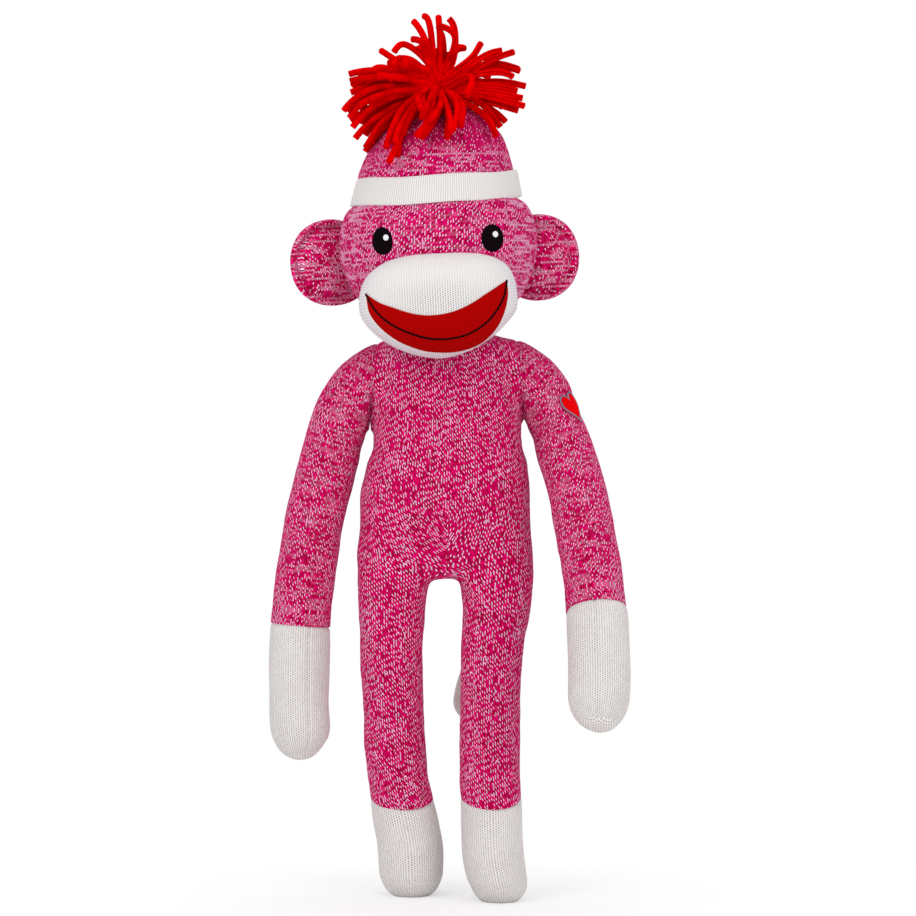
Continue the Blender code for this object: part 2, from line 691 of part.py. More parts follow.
def build_pompom(pivot):
    """The yarn strands, fanned out from a core that is tied down to the hat's top."""
    hat_top = NECK_HEIGHT + HAT_TOP_RISE
    bm = bmesh.new()
    bmesh.ops.create_cone(bm, cap_ends=True, segments=8, radius1=TIE_RADIUS, radius2=TIE_RADIUS,
                          depth=TIE_HEIGHT)
    tie_middle = hat_top + SEWN_GAP + TIE_HEIGHT / 2
    add_piece("pompom_tie", moved(bm, (BODY_X, BODY_Y, tie_middle)), YARN_RED, pivot)
    core = bmesh.new()
    bmesh.ops.create_icosphere(core, subdivisions=2, radius=POMPOM_CORE_RADIUS)
    for face in list(core.faces):
        if face.calc_center_median().normalized().z > STRAND_LOWEST_SHARE:
            grow_strand(core, face)
    height = hat_top + 2 * SEWN_GAP + TIE_HEIGHT + POMPOM_CORE_RADIUS
    add_piece("pompom", moved(core, (BODY_X, BODY_Y, height)), YARN_RED, pivot)


def grow_strand(bm, face):
    """Push one face of the core out, step by step, as a strand that droops more when it lies low."""
    root = face.calc_center_median()
    way = root.normalized()
    level = math.hypot(way.x, way.y)
    shape = [(vert.co - root) for vert in face.verts]
    for step in range(1, STRAND_STEPS + 1):
        reach = step / STRAND_STEPS
        droop = STRAND_DROOP * level * reach * reach
        middle = root + way * STRAND_LENGTH * reach - Vector((0, 0, droop))
        pushed = bmesh.ops.extrude_discrete_faces(bm, faces=[face])["faces"][0]
        for vert, offset in zip(pushed.verts, shape):
            vert.co = middle + offset.normalized() * STRAND_RADIUS
        face = pushed


def build_arm(label, side, swing):
    """An arm's cover, its hand and the fill that runs through both."""
    counts = (LIMB_SIDES, LIMB_ROWS)
    form = arm_form(side)
    pivot = add_pivot(label + "_shoulder", (BODY_X + side * SHOULDER_SPAN / 2, BODY_Y, SHOULDER_HEIGHT))
    seam = BODY_X + side * (SHOULDER_SPAN / 2 + SEWN_GAP)
    across = sorted((seam, seam - side * OVERRUN))
    reach = OVERRUN
    low = (across[0], -reach, ARM_TOP - reach)
    seam_side = add_cutter(label + "_seam_side", box_bm(low, (across[1], reach, ARM_TOP + reach)), pivot)
    below = everything_below(WRIST_HEIGHT, label + "_wrist_below", pivot)
    above = everything_above(WRIST_HEIGHT - SEWN_GAP, label + "_wrist_above", pivot)
    cover, hollow = add_cover(label + "_arm_cover", form, MARL_PINK, counts, pivot)
    cut(cover, hollow, seam_side, below)
    hand, hand_hollow = add_cover(label + "_hand_cover", form, WHITE_KNIT, counts, pivot)
    cut(hand, hand_hollow, above)
    cut(add_fill(label + "_arm_stuffing", form, counts, pivot), seam_side)
    pivot.rotation_euler.x = swing
    return pivot


def build_heart(pivot):
    """The heart and its stitched border, round the outer front of the left arm."""
    counts = (LIMB_SIDES, LIMB_ROWS)
    form = arm_form(1)
    centre = form.centre(HEART_CENTRE_HEIGHT)
    place = (Matrix.Translation(centre) @ Matrix.Rotation(HEART_TURN, 4, "Z")
             @ Matrix.Rotation(HEART_LEAN, 4, "Y"))
    shape = heart(HEART_WIDTH, HEART_HEIGHT)
    add_patch("heart", form, counts, shape, place, SEWN_GAP, HEART_THICKNESS, HEART_RED, pivot)
    border = heart(HEART_WIDTH + 2 * HEART_BORDER, HEART_HEIGHT + 2 * HEART_BORDER)
    rim = add_patch("heart_border", form, counts, border, place, SEWN_GAP, HEART_THICKNESS, SLATE_THREAD, pivot)
    inner = heart(HEART_WIDTH + 2 * SEWN_GAP, HEART_HEIGHT + 2 * SEWN_GAP)
    cut(rim, add_cutter("heart_border_inner", prism_bm(inner, place, OVERRUN), pivot))


def build_leg(label, side, drift, drift_shares, step):
    """A leg's cover, its foot with a flat sole, and the fill that runs through both."""
    counts = (LIMB_SIDES, LIMB_ROWS)
    form = leg_form(side, drift, drift_shares, step)
    pivot = add_pivot(label + "_hip", (BODY_X + side * HIP_SPREAD, BODY_Y, HIP_HEIGHT))
    floor = everything_below(0, label + "_floor", pivot)
    below = everything_below(ANKLE_HEIGHT, label + "_ankle_below", pivot)
    above = everything_above(ANKLE_HEIGHT - SEWN_GAP, label + "_ankle_above", pivot)
    cover, hollow = add_cover(label + "_leg_cover", form, MARL_PINK, counts, pivot)
    cut(cover, hollow, below)
    foot, foot_hollow = add_cover(label + "_foot_cover", form, WHITE_KNIT, counts, pivot)
    cut(foot, foot_hollow, above, floor)
    add_fill(label + "_leg_stuffing", form, counts, pivot, LEG_FILL_GAP)


def build_tail():
    """The tail and its white tip."""
    form = tail_form()
    pivot = add_pivot("tail_seam", (form.x, form.y, TAIL_ROOT_HEIGHT))
    split = form.bottom + TAIL_TIP_LENGTH
    below = everything_below(split, "tail_below", pivot)
    above = everything_above(split - SEWN_GAP, "tail_above", pivot)
    cut(add_piece("tail", form_bm(form, SMALL_SIDES, LIMB_ROWS), MARL_PINK, pivot), below)
    cut(add_piece("tail_tip", form_bm(form, SMALL_SIDES, LIMB_ROWS), WHITE_KNIT, pivot), above)


def build_doll():
    build_torso()
    neck = add_pivot("neck", (BODY_X, BODY_Y, NECK_HEIGHT), roll=-HEAD_ROLL)
    build_neck(neck)
    build_head(neck)
    build_muzzle(neck)
    build_mouth(neck)
    build_eye("right", RIGHT_EYE_X, RIGHT_EYE_RISE, neck)
    build_eye("left", LEFT_EYE_X, LEFT_EYE_RISE, neck)
    build_ear("right", -1, RIGHT_EAR_OUT, RIGHT_EAR_RISE, neck)
    build_ear("left", 1, LEFT_EAR_OUT, LEFT_EAR_RISE, neck)
    build_hat(neck)
    build_pompom(neck)
    build_arm("right", -1, 0)
    build_heart(build_arm("left", 1, -LEFT_ARM_SWING))
    build_leg("right", -1, RIGHT_FOOT_DRIFT, RIGHT_DRIFT_SHARES, 0)
    build_leg("left", 1, LEFT_FOOT_DRIFT, LEFT_DRIFT_SHARES, LEFT_FOOT_STEP)
    build_tail()


clear_scene()
DOLL = new_collection("sock_monkey_doll")
CUTTERS = new_collection("cutters")
build_doll()
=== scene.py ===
# %% [markdown]
# # A knitted sock monkey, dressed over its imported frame
# The frame holds the solids of the doll and the way they move. This lesson covers every solid with
# what shows on the real doll: soft knitted skin, ribbed cuffs, stitched lines and a yarn pompom.

import json
import math
import random

import bmesh
import bpy
import numpy as np
from mathutils import Matrix, Vector, noise

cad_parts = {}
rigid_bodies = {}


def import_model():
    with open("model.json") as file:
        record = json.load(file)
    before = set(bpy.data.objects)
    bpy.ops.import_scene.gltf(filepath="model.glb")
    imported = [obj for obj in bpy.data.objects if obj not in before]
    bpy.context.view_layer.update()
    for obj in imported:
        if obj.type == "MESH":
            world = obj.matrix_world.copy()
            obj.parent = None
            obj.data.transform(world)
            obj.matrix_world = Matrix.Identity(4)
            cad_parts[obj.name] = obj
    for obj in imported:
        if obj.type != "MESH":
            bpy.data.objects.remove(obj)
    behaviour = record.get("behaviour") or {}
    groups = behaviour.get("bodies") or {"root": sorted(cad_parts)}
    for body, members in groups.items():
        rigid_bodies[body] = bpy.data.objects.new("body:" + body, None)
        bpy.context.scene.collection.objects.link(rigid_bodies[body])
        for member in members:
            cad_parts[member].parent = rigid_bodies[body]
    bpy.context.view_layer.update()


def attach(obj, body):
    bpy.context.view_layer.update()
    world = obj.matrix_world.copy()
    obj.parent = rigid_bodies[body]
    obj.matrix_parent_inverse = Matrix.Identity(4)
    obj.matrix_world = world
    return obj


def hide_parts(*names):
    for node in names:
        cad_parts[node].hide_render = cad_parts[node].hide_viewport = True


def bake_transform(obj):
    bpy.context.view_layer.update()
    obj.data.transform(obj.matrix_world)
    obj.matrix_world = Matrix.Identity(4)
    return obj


for leftover in list(bpy.data.objects):
    bpy.data.objects.remove(leftover)

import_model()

# %% [markdown]
# Sizes are in millimetres here, as a maker would measure them, and become metres when a mesh is made.
# The doll stands on z = 0 and looks towards -Y. Its own right side is at negative x. The head was built
# upright and then leans a little about the neck, so its pieces are made upright and leaned at the end.

# %% The sizes that many pieces share
MM = 0.001
BODY_Y = 15.2
NECK_Z = 321.0
HEAD_LEAN = math.radians(-3)
SHOULDER_Z = 295.0
SEAM_X = 40.0
LEFT_ARM_SWING = math.radians(23)
WALE = 1.4
COURSE = 1.25
SIDES = {"right": -1, "left": 1}

# %% [markdown]
# The camera stands level in front of the doll, far away, with a long lens, as for a shop picture.

# %% Place the camera
CAMERA_PLACE = (6.6, -1835, 250)
FOCAL_LENGTH = 127
SENSOR_WIDTH = 36

camera_lens = bpy.data.cameras.new("camera")
camera_lens.lens = FOCAL_LENGTH
camera_lens.sensor_width = SENSOR_WIDTH
camera = bpy.data.objects.new("camera", camera_lens)
camera.location = [distance * MM for distance in CAMERA_PLACE]
camera.rotation_euler = (math.radians(90), 0, 0)
bpy.context.scene.collection.objects.link(camera)
bpy.context.scene.camera = camera

# %% [markdown]
# Shader maths reads best as plain expressions. A Value wraps one socket and adds a Math node for each
# operator. A Finish holds one material and makes any other node with a single method.

# %% Write shader maths as expressions
def add_node(tree, kind, settings=None, values=None):
    """Adds a node to a tree, makes its settings, then fills or links its sockets."""
    made = tree.nodes.new(kind)
    for setting, choice in (settings or {}).items():
        setattr(made, setting, choice)
    for place, value in (values or {}).items():
        if isinstance(value, bpy.types.NodeSocket):
            tree.links.new(value, made.inputs[place])
        else:
            made.inputs[place].default_value = value
    return made


class Value:
    """One output socket of a finish, ready for arithmetic."""

    def __init__(self, finish, socket):
        self.finish = finish
        self.socket = socket

    def __add__(self, other):
        return self.finish.maths("ADD", self, other)

    def __sub__(self, other):
        return self.finish.maths("SUBTRACT", self, other)

    def __mul__(self, other):
        return self.finish.maths("MULTIPLY", self, other)

    def __truediv__(self, other):
        return self.finish.maths("DIVIDE", self, other)

    def __pow__(self, other):
        return self.finish.maths("POWER", self, other)

    def __radd__(self, other):
        return self.finish.maths("ADD", other, self)

    def __rsub__(self, other):
        return self.finish.maths("SUBTRACT", other, self)

    def __rmul__(self, other):
        return self.finish.maths("MULTIPLY", other, self)

    def __abs__(self):
        return self.finish.maths("ABSOLUTE", self)

    def floor(self):
        return self.finish.maths("FLOOR", self)

    def fract(self):
        return self.finish.maths("FRACT", self)

    def sine(self):
        return self.finish.maths("SINE", self)

    def between(self, low, high):
        """0 below low, 1 above high, and smooth in between."""
        settings = {"interpolation_type": "SMOOTHSTEP"}
        return self.finish.node("ShaderNodeMapRange", settings, {0: self, 1: low, 2: high})


def paint(red, green, blue):
    """A colour as a screen shows it, 0 to 255, made linear for a shader."""
    linear = []
    for channel in (red, green, blue):
        share = channel / 255
        linear.append(share / 12.92 if share <= 0.04045 else ((share + 0.055) / 1.055) ** 2.4)
    return (*linear, 1.0)


class Finish:
    """A material being made."""

    def __init__(self, name, **shader_values):
        self.material = bpy.data.materials.new(name)
        self.material.use_nodes = True
        self.tree = self.material.node_tree
        self.shader = self.tree.nodes["Principled BSDF"]
        for name_of_socket, value in shader_values.items():
            self.shader.inputs[name_of_socket.replace("_", " ")].default_value = value

    def node(self, kind, settings=None, values=None, output=0):
        """Adds a node and wraps one of its outputs."""
        plain = {}
        for place, value in (values or {}).items():
            plain[place] = value.socket if isinstance(value, Value) else value
        return Value(self, add_node(self.tree, kind, settings, plain).outputs[output])

    def maths(self, operation, *parts):
        return self.node("ShaderNodeMath", {"operation": operation}, dict(enumerate(parts)))

    def vector(self, x, y):
        return self.node("ShaderNodeCombineXYZ", None, {0: x, 1: y})

    def map_named(self, name):
        """The two coordinates of one of the piece's own maps."""
        place = self.node("ShaderNodeUVMap", {"uv_map": name})
        across = self.node("ShaderNodeSeparateXYZ", None, {0: place}, output=0)
        return across, Value(self, across.socket.node.outputs[1])

    def mix(self, factor, first, second):
        """The first colour where the factor is 0, and the second where it is 1."""
        return self.node("ShaderNodeMix", {"data_type": "RGBA"}, {0: factor, 6: first, 7: second}, output=2)

    def flecks(self, x, y):
        """A different number from 0 to 1 for every whole place."""
        place = self.vector(x, y)
        return self.node("ShaderNodeTexWhiteNoise", {"noise_dimensions": "2D"}, {0: place})

    def drift(self, x, y, detail=1.0):
        """A number that wanders smoothly from about 0 to 1."""
        place = self.vector(x, y)
        settings = {"noise_dimensions": "2D"}
        cloud = self.node("ShaderNodeTexNoise", settings, {"Vector": place, "Scale": 1.0, "Detail": detail})
        return (cloud - 0.5) * 2.0 + 0.5

    def wear(self, colour, height, depth=0.3):
        """Gives the shader its colour and its height, whose full depth is in millimetres."""
        bump = self.node("ShaderNodeBump", None, {"Height": height, "Distance": depth * MM})
        self.tree.links.new(colour.socket, self.shader.inputs["Base Color"])
        self.tree.links.new(bump.socket, self.shader.inputs["Normal"])
        return self.material


# %% [markdown]
# Plain knitting is rows of small V shapes in upright columns, called wales. Each V has two slanted legs.
# The stitch map counts wales across and rows up, so the whole number tells which stitch this is, and
# the rest tells where in it. Marl yarn twists a pale and a bright strand together, so every leg of
# every stitch picks its own tone. The pale strand comes up again with the twist: one wale across and
# one row up together make a full turn.

# %% Split the stitch map into the legs of the knitting
LEG_SLANT = 1.55


def arch(share):
    """1 in the middle of a share and 0 at its ends."""
    return share * (1 - share) * 4


def near_middle(share, full, none):
    """1 until full away from the middle of a share, and 0 from none on."""
    return 1 - abs(share - 0.5).between(full, none)


def stitch_legs(finish, across, up):
    """Which leg this is, which row, how far through the leg and how far along it."""
    lifted = up - LEG_SLANT * abs(across.fract() - 0.5)
    return (across * 2).floor(), lifted.floor(), lifted.fract(), (across * 2).fract()


def yarn_height(through, along):
    """How high the yarn of a leg stands, 0 to 1."""
    return arch(through) ** 0.7 * (0.35 + 0.65 * arch(along) ** 0.5)


# %% [markdown]
# Each kind of yarn is a function that returns a finished material. The marl mixes a bright and a deep
# pink, paints shade into the gaps between the stitches and lays the pale strand on some legs.

# %% Marl knit, white knit and ribs
MARL_PALE = paint(255, 221, 254)
MARL_BRIGHT = paint(252, 0, 118)
MARL_DEEP = paint(146, 0, 28)
# The colour of painted shade in the gaps between the stitches.
MARL_GAP_SHADE = paint(84, 0, 22)
MARL_FUZZ = paint(255, 84, 170)
TWIST_PER_WALE = 0.62
TWIST_PER_ROW = 0.38
# A patch shifts the twist by some turns. Each sway changes the chance that a leg is pale.
TWIST_WANDER = 1.2
TWIST_SWAY = 0.5
PATCH_SWAY = 0.16
RUN_SWAY = 0.24
SHADE_PAST_SWAY = 0.2
CALM_SPAN = (18, 46)
CALM_SHARE = 0.2
PALE_RIGHT = 0.03


def marl_knit(name, runs=0.0, pale_left=0.43, row_slope=0.0, calm_wale=None, shade_past_row=None,
              bright=MARL_BRIGHT):
    """Pink and white marl. Runs are pale streaks along a row, calm near one wale. Past one row the runs stop
    and fewer legs are pale: painted shade. pale_left is the chance of a pale left leg, before the twist,
    the patches and the runs sway it."""
    finish = Finish(name, Roughness=0.9, Sheen_Weight=0.4, Sheen_Tint=MARL_FUZZ, Specular_IOR_Level=0.02)
    across, up = finish.map_named("stitches")
    leg, row, through, along = stitch_legs(finish, across, up + across * row_slope)
    left_leg = 1 - (leg * 0.5).fract() * 2
    patch = finish.drift(leg * 0.06, row * 0.07)
    twist = (leg * (TWIST_PER_WALE / 2) + row * TWIST_PER_ROW + patch * TWIST_WANDER) * (2 * math.pi)
    chance = PALE_RIGHT + left_leg * (pale_left - PALE_RIGHT) + (patch - 0.5) * PATCH_SWAY
    chance = chance + left_leg * twist.sine() * TWIST_SWAY
    strength = runs
    if calm_wale is not None:
        away = abs(across - calm_wale).between(*CALM_SPAN)
        strength = away * (runs * (1 - CALM_SHARE)) + runs * CALM_SHARE
    # Painted shade: past this row there are no runs and fewer pale legs, so the knit is darker.
    if shade_past_row is not None:
        past = up.between(shade_past_row, shade_past_row + 8)
        strength = (1 - past) * strength
        chance = chance - past * SHADE_PAST_SWAY
    if runs:
        chance = chance - strength * RUN_SWAY
    chosen = (chance - finish.flecks(leg, row)).between(-0.03, 0.03)
    pale = chosen * near_middle(through, 0.24, 0.4) * near_middle(along, 0.34, 0.5)
    if runs:
        run = finish.drift(leg * 0.045, row * 0.9 + 7).between(0.49, 0.7) * strength
        ragged = 0.7 + 0.3 * finish.flecks(leg + 5, row + 9)
        pale = finish.maths("MAXIMUM", pale, run * ragged * near_middle(through, 0.25, 0.42))
    height = yarn_height(through, along)
    yarn = finish.mix(finish.flecks(leg + 31, row), MARL_DEEP, bright)
    # Painted shade: the yarn is darkened where it sinks between the stitches.
    yarn = finish.mix(height.between(0.08, 0.58), MARL_GAP_SHADE, yarn)
    return finish.wear(finish.mix(pale, yarn, MARL_PALE), height, depth=0.3)


def pinholes(finish, across, up):
    """Small holes between the stitches, staggered from wale to wale: 1 in a hole, 0 between."""
    shifted = (up + (across.floor() * 0.5).fract()).fract() - 0.5
    aside = across.fract() - 0.5
    distance = (aside * aside) * 11.0 + (shifted * shifted) * 8.0
    return 1 - distance.between(0.2, 1.1)


def white_knit(name, hole=0.75):
    """Fine white knit with small pinholes between the stitches, which are painted in a grey-brown shade."""
    finish = Finish(name, Roughness=0.9, Sheen_Weight=0.03, Specular_IOR_Level=0.03)
    across, up = finish.map_named("stitches")
    open_here = pinholes(finish, across, up)
    patch = finish.drift(across * 0.06, up * 0.05)
    yarn = finish.mix(finish.flecks(across.floor(), up.floor()), paint(228, 225, 223), paint(219, 214, 212))
    # Painted shade: the pinholes are darkened towards a grey-brown.
    colour = finish.mix(open_here * (hole * 0.6 + patch * (hole * 0.5)), yarn, paint(150, 138, 132))
    return finish.wear(colour, 1 - open_here, depth=0.3)


def ribbed_knit(name, light, dark, depth=0.35):
    """Upright ribs, each a column of small dots, with painted shade in the grooves between them."""
    finish = Finish(name, Roughness=0.9, Specular_IOR_Level=0.03)
    across, up = finish.map_named("stitches")
    rib = arch(across.fract()) ** 0.6
    dot = arch((up + (across.floor() * 0.5).fract()).fract()) ** 0.5
    height = rib * (0.55 + 0.45 * dot)
    # Painted shade: the grooves between the ribs take the dark colour.
    colour = finish.mix(height.between(0.0, 0.6), dark, light)
    return finish.wear(colour, height, depth=depth)


def thread_finish(name, light, dark, pitch=0.35):
    """Satin stitching: fine threads side by side, with painted shade between them."""
    finish = Finish(name, Roughness=0.8, Specular_IOR_Level=0.03)
    across, up = finish.map_named("stitches")
    wobble = finish.drift(across * 0.8, up * 0.8)
    height = arch((across / pitch + wobble * 0.5).fract())
    # Painted shade: the dips between the threads take the dark colour.
    colour = finish.mix(height, dark, light)
    return finish.wear(colour, height, depth=0.12)


YARN_PLIES = 6
TWIST_PITCH = 9.0


def yarn_finish(name, light, dark):
    """Plied yarn: its plies run round the strand as slanted grooves, with fine fibres on them. The dark red
    is painted shade, laid in the grooves and mixed in random patches.
    """
    finish = Finish(name, Roughness=0.9, Specular_IOR_Level=0.0)
    along, around, strand = (
        finish.node("ShaderNodeAttribute", {"attribute_name": name_of_value}, output=2)
        for name_of_value in ("along", "around", "strand")
    )
    fibre = finish.drift(around * 14 + along * 1.6, along * 0.5 + strand * 31, detail=3.0)
    patch = finish.drift(strand * 17, along * 0.12)
    ply = arch((around * YARN_PLIES + along * (YARN_PLIES / TWIST_PITCH)).fract()) ** 0.6
    tone = fibre * 0.3 + patch * 0.3 + strand * 0.2 + ply * 0.4
    # Painted shade in the ply grooves, with tone that differs at random along the strands.
    colour = finish.mix(tone.between(0.15, 0.85), dark, light)
    return finish.wear(colour, ply + fibre * 0.3, depth=0.4)


# A brighter copy of the body's pink for the head and the hat: painted light from above.
MARL_BRIGHT_LIT = paint(255, 0, 126)
MARL_BODY = marl_knit("marl_body", row_slope=0.45)
MARL_HEAD = marl_knit("marl_head", runs=0.75, calm_wale=122, bright=MARL_BRIGHT_LIT)
# The hat's top under the pompom is painted in shade: fewer pale legs past row 15.
MARL_HAT = marl_knit("marl_hat", runs=0.4, pale_left=0.28, shade_past_row=15, bright=MARL_BRIGHT_LIT)
MARL_ARM = marl_knit("marl_arm", runs=0.2, pale_left=0.33)
MARL_EAR = marl_knit("marl_ear", runs=0.4, pale_left=0.31)
WHITE = white_knit("white_knit")
WHITE_CUFF = ribbed_knit("white_rib", paint(230, 227, 225), paint(180, 170, 166))
RED_RIB = ribbed_knit("red_rib", paint(178, 0, 0), paint(84, 0, 0), depth=0.3)
BLACK_THREAD = thread_finish("black_thread", paint(16, 7, 12), paint(4, 1, 3))
WHITE_THREAD = thread_finish("white_thread", paint(250, 250, 252), paint(214, 216, 222))
HEART_THREAD = thread_finish("heart_thread", paint(250, 0, 6), paint(200, 0, 2))
SLATE_THREAD = thread_finish("slate_thread", paint(140, 146, 168), paint(100, 104, 130))
RED_YARN = yarn_finish("red_yarn", paint(236, 0, 2), paint(124, 0, 0))
print("finishes made:", len(bpy.data.materials))

# %% [markdown]
# Most of the doll is a knitted tube over stuffing. A tube is measured at a few stations, and smooth
# curves run through them. The curves must not swing past a station, or a wrist would bulge by itself.

# %% Smooth curves through stations
def curve_between(values, tangents, left, gap, t):
    """Places on the curves from each left value to the next, which leave and arrive along the tangents."""
    start = values[left] * (1 + 2 * t) * (1 - t) ** 2 + values[left + 1] * t ** 2 * (3 - 2 * t)
    bend = tangents[left] * gap * t * (1 - t) ** 2 - tangents[left + 1] * gap * t ** 2 * (1 - t)
    return start + bend


def glide(keys, values, at):
    """Values at new places, on smooth curves through the stations."""
    keys = np.asarray(keys, dtype=float)
    table = np.asarray(values, dtype=float)
    single = table.ndim == 1
    table = table.reshape(len(keys), -1)
    gaps = np.diff(keys)[:, None]
    slopes = np.diff(table, axis=0) / gaps
    before, after = slopes[:-1], slopes[1:]
    same_way = before * after > 0
    total = np.where(same_way, before + after, 1.0)
    inner = np.where(same_way, 2 * before * after / total, 0.0)
    tangents = np.vstack([slopes[:1], inner, slopes[-1:]])
    at = np.clip(np.asarray(at, dtype=float), keys[0], keys[-1])
    left = np.clip(np.searchsorted(keys, at, side="right") - 1, 0, len(keys) - 2)
    gap = gaps[left]
    t = ((at - keys[left])[..., None]) / gap
    result = curve_between(table, tangents, left, gap, t)
    return result[..., 0] if single else result


def step(value, low, high):
    """0 before low, 1 after high, and smooth in between."""
    share = np.clip((np.asarray(value, dtype=float) - low) / (high - low), 0, 1)
    return share * share * (3 - 2 * share)


def rounded(distance, reach, power=2.0):
    """How full a rounded end is at this distance from its tip, 0 to 1."""
    share = np.clip(np.asarray(distance, dtype=float) / reach, 0, 1)
    return (1 - (1 - share) ** power) ** (1 / power)


def signed_power(value, power):
    return np.sign(value) * np.abs(value) ** power


def lumps(points, size, seed=0.0):
    """Slow unevenness of stuffing, about -1 to 1, for points in millimetres."""
    return np.array([noise.noise(Vector(point) / size + Vector((seed, seed, seed))) for point in points])


def ends_close_together(count):
    """Shares from 0 to 1 that crowd towards both ends."""
    return (1 - np.cos(np.linspace(0, math.pi, count))) / 2


def at_stations(stations, places):
    """Sizes at new places, from rows that say where they are first and then how large."""
    table = np.array(stations, dtype=float)
    return glide(table[:, 0], table[:, 1:], places)


def full_turn(count, start=0.0):
    """Even angles once round."""
    return np.linspace(start, start + 2 * math.pi, count, endpoint=False)


def running_total(steps):
    """0, and then the sum of the steps so far."""
    return np.concatenate([[0], np.cumsum(steps)])


def distances_along(places):
    """How far along a line each of its points lies."""
    return running_total(np.linalg.norm(np.diff(places, axis=0), axis=1))


def unit(vectors):
    """The same directions with a length of 1."""
    return vectors / np.linalg.norm(vectors, axis=1)[:, None]


# %% [markdown]
# A mesh is made once its points are final, in the row frame and in metres. Its faces carry the stitch
# map, and its open side is closed, so that every piece is one skin with an outside.

# %% Make a piece from points, faces and a stitch map
def lean_head(points):
    """Turns head pieces, built upright, about the neck."""
    turned = np.array(points, dtype=float)
    x, z = turned[:, 0].copy(), turned[:, 2] - NECK_Z
    turned[:, 0] = x * math.cos(HEAD_LEAN) + z * math.sin(HEAD_LEAN)
    turned[:, 2] = z * math.cos(HEAD_LEAN) - x * math.sin(HEAD_LEAN) + NECK_Z
    return turned


def mapped_mesh(name, points, faces, maps):
    """A mesh with maps, each of which holds a place for every corner of every face."""
    mesh = bpy.data.meshes.new(name)
    mesh.from_pydata(points.tolist(), [], faces)
    for map_name, corners in maps.items():
        layer = mesh.uv_layers.new(name=map_name)
        layer.data.foreach_set("uv", [value for face in corners for place in face for value in place])
    return mesh


def make_piece(name, points, faces, corners, finish, more_maps=None):
    """A smooth closed piece from points in millimetres. corners is its stitch map."""
    maps = {"stitches": corners, **(more_maps or {})}
    return finish_piece(name, mapped_mesh(name, points * MM, faces, maps), finish)


def seen_from_front(points, faces, width=1.0, height=1.0):
    """Stitch places that run straight across and up, for stitches this wide and high."""
    return [[(points[index][0] / width, points[index][2] / height) for index in face] for face in faces]


def corner_points(mesh):
    """The number of the point at every corner of the faces."""
    numbers = np.empty(len(mesh.loops), dtype=int)
    mesh.loops.foreach_get("vertex_index", numbers)
    return numbers


def finish_piece(name, mesh, finish):
    """Turns every face outwards, smooths the shading and links the piece."""
    work = bmesh.new()
    work.from_mesh(mesh)
    bmesh.ops.recalc_face_normals(work, faces=work.faces)
    for face in work.faces:
        face.smooth = True
    for edge in work.edges:
        edge.smooth = edge.calc_face_angle(0) < math.radians(75)
    work.to_mesh(mesh)
    work.free()
    mesh.materials.clear()
    mesh.materials.append(finish)
    piece = bpy.data.objects.new(name, mesh)
    bpy.context.scene.collection.objects.link(piece)
    return piece


def grid_faces(rows, columns, closed=True):
    """The four-sided faces of a grid of points, and each face's row and column."""
    faces = []
    places = []
    for row in range(rows - 1):
        for column in range(columns if closed else columns - 1):
            after = (column + 1) % columns
            here = row * columns
            faces.append((here + column, here + after, here + columns + after, here + columns + column))
            places.append((row, column))
    return faces, places


def close_tube(rings, rows_up, wales):
    """Points, faces and stitch places of a tube whose two ends are closed."""
    count, around = rings.shape[:2]
    faces, places = grid_faces(count, around)
    width = wales / around
    corners = []
    for row, column in places:
        left, right = column * width, (column + 1) * width
        corners.append(((left, rows_up[row]), (right, rows_up[row]),
                        (right, rows_up[row + 1]), (left, rows_up[row + 1])))
    points = rings.reshape(-1, 3)
    poles = np.array([rings[0].mean(axis=0), rings[-1].mean(axis=0)])
    for end, ring in ((0, 0), (1, count - 1)):
        pole = count * around + end
        for column in range(around):
            after = (column + 1) % around
            faces.append((pole, ring * around + column, ring * around + after))
            middle = (column + 0.5) * width
            edge = rows_up[ring]
            corners.append(((middle, edge), (column * width, edge), ((column + 1) * width, edge)))
    return np.vstack([points, poles]), faces, corners


SIDEWAYS = np.array([[1.0, 0.0, 0.0]])
FORWARD = np.array([[0.0, -1.0, 0.0]])


def cross_section(centre, side, front, half_side, half_front, turns, power=2.0):
    """Rings of points round a line of centres."""
    reach_side = signed_power(np.cos(turns), 2 / power)[None, :, None]
    reach_front = signed_power(np.sin(turns), 2 / power)[None, :, None]
    across = side[:, None, :] * half_side[:, None, None] * reach_side
    forward = front[:, None, :] * half_front[:, None, None] * reach_front
    return centre[:, None, :] + across + forward


def cover(piece, slot, *replaced, fill=None):
    """Hides the solids that a piece stands for. The piece itself, its slot and its fill are not used."""
    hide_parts(*replaced)


def dress(piece, body, slot, *replaced, fill=None):
    """Sets a finished piece on the body that carries it."""
    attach(piece, body)
    cover(piece, slot, *replaced, fill=fill)


# %% [markdown]
# The torso, both legs and both sleeves are stuffed tubes of one knit. They are first made as separate
# tubes, measured at a few stations. An arm's middle line leaves the shoulder sideways and then hangs.
# Its first ring stands upright in the seam, and the rings turn with the line.

# %% Measure the arm
ARM_LINE = (
    (-34.0, 295.0), (-43.0, 291.5), (-50.5, 286.0), (-57.2, 277.0), (-61.6, 267.0), (-65.2, 255.0),
    (-69.6, 240.0), (-73.4, 226.0), (-78.1, 198.6), (-82.1, 171.0), (-84.2, 144.0), (-84.3, 116.0),
    (-83.4, 88.7), (-82.0, 77.3),
)
ARM_HALF_WIDTHS = (
    # length along the arm, half width
    (0, 23.0), (8, 22.0), (18, 19.2), (30, 17.6), (45, 17.1), (60, 17.1), (160, 17.1), (240, 17.0),
)
WRIST_Z = 154.7
HAND_ROUND = 21
ARM_WALES = 84
LEFT_ARM_SHORTER = 6.5
LEFT_ARM_SLIMMER = 1.0
LEFT_ARM_WAIST = 1.2
ARM_HALF_DEPTH = 17.2
SHOULDER_LIFT = {"right": 0.5, "left": 3.0}
TUBE_SIDES = 96


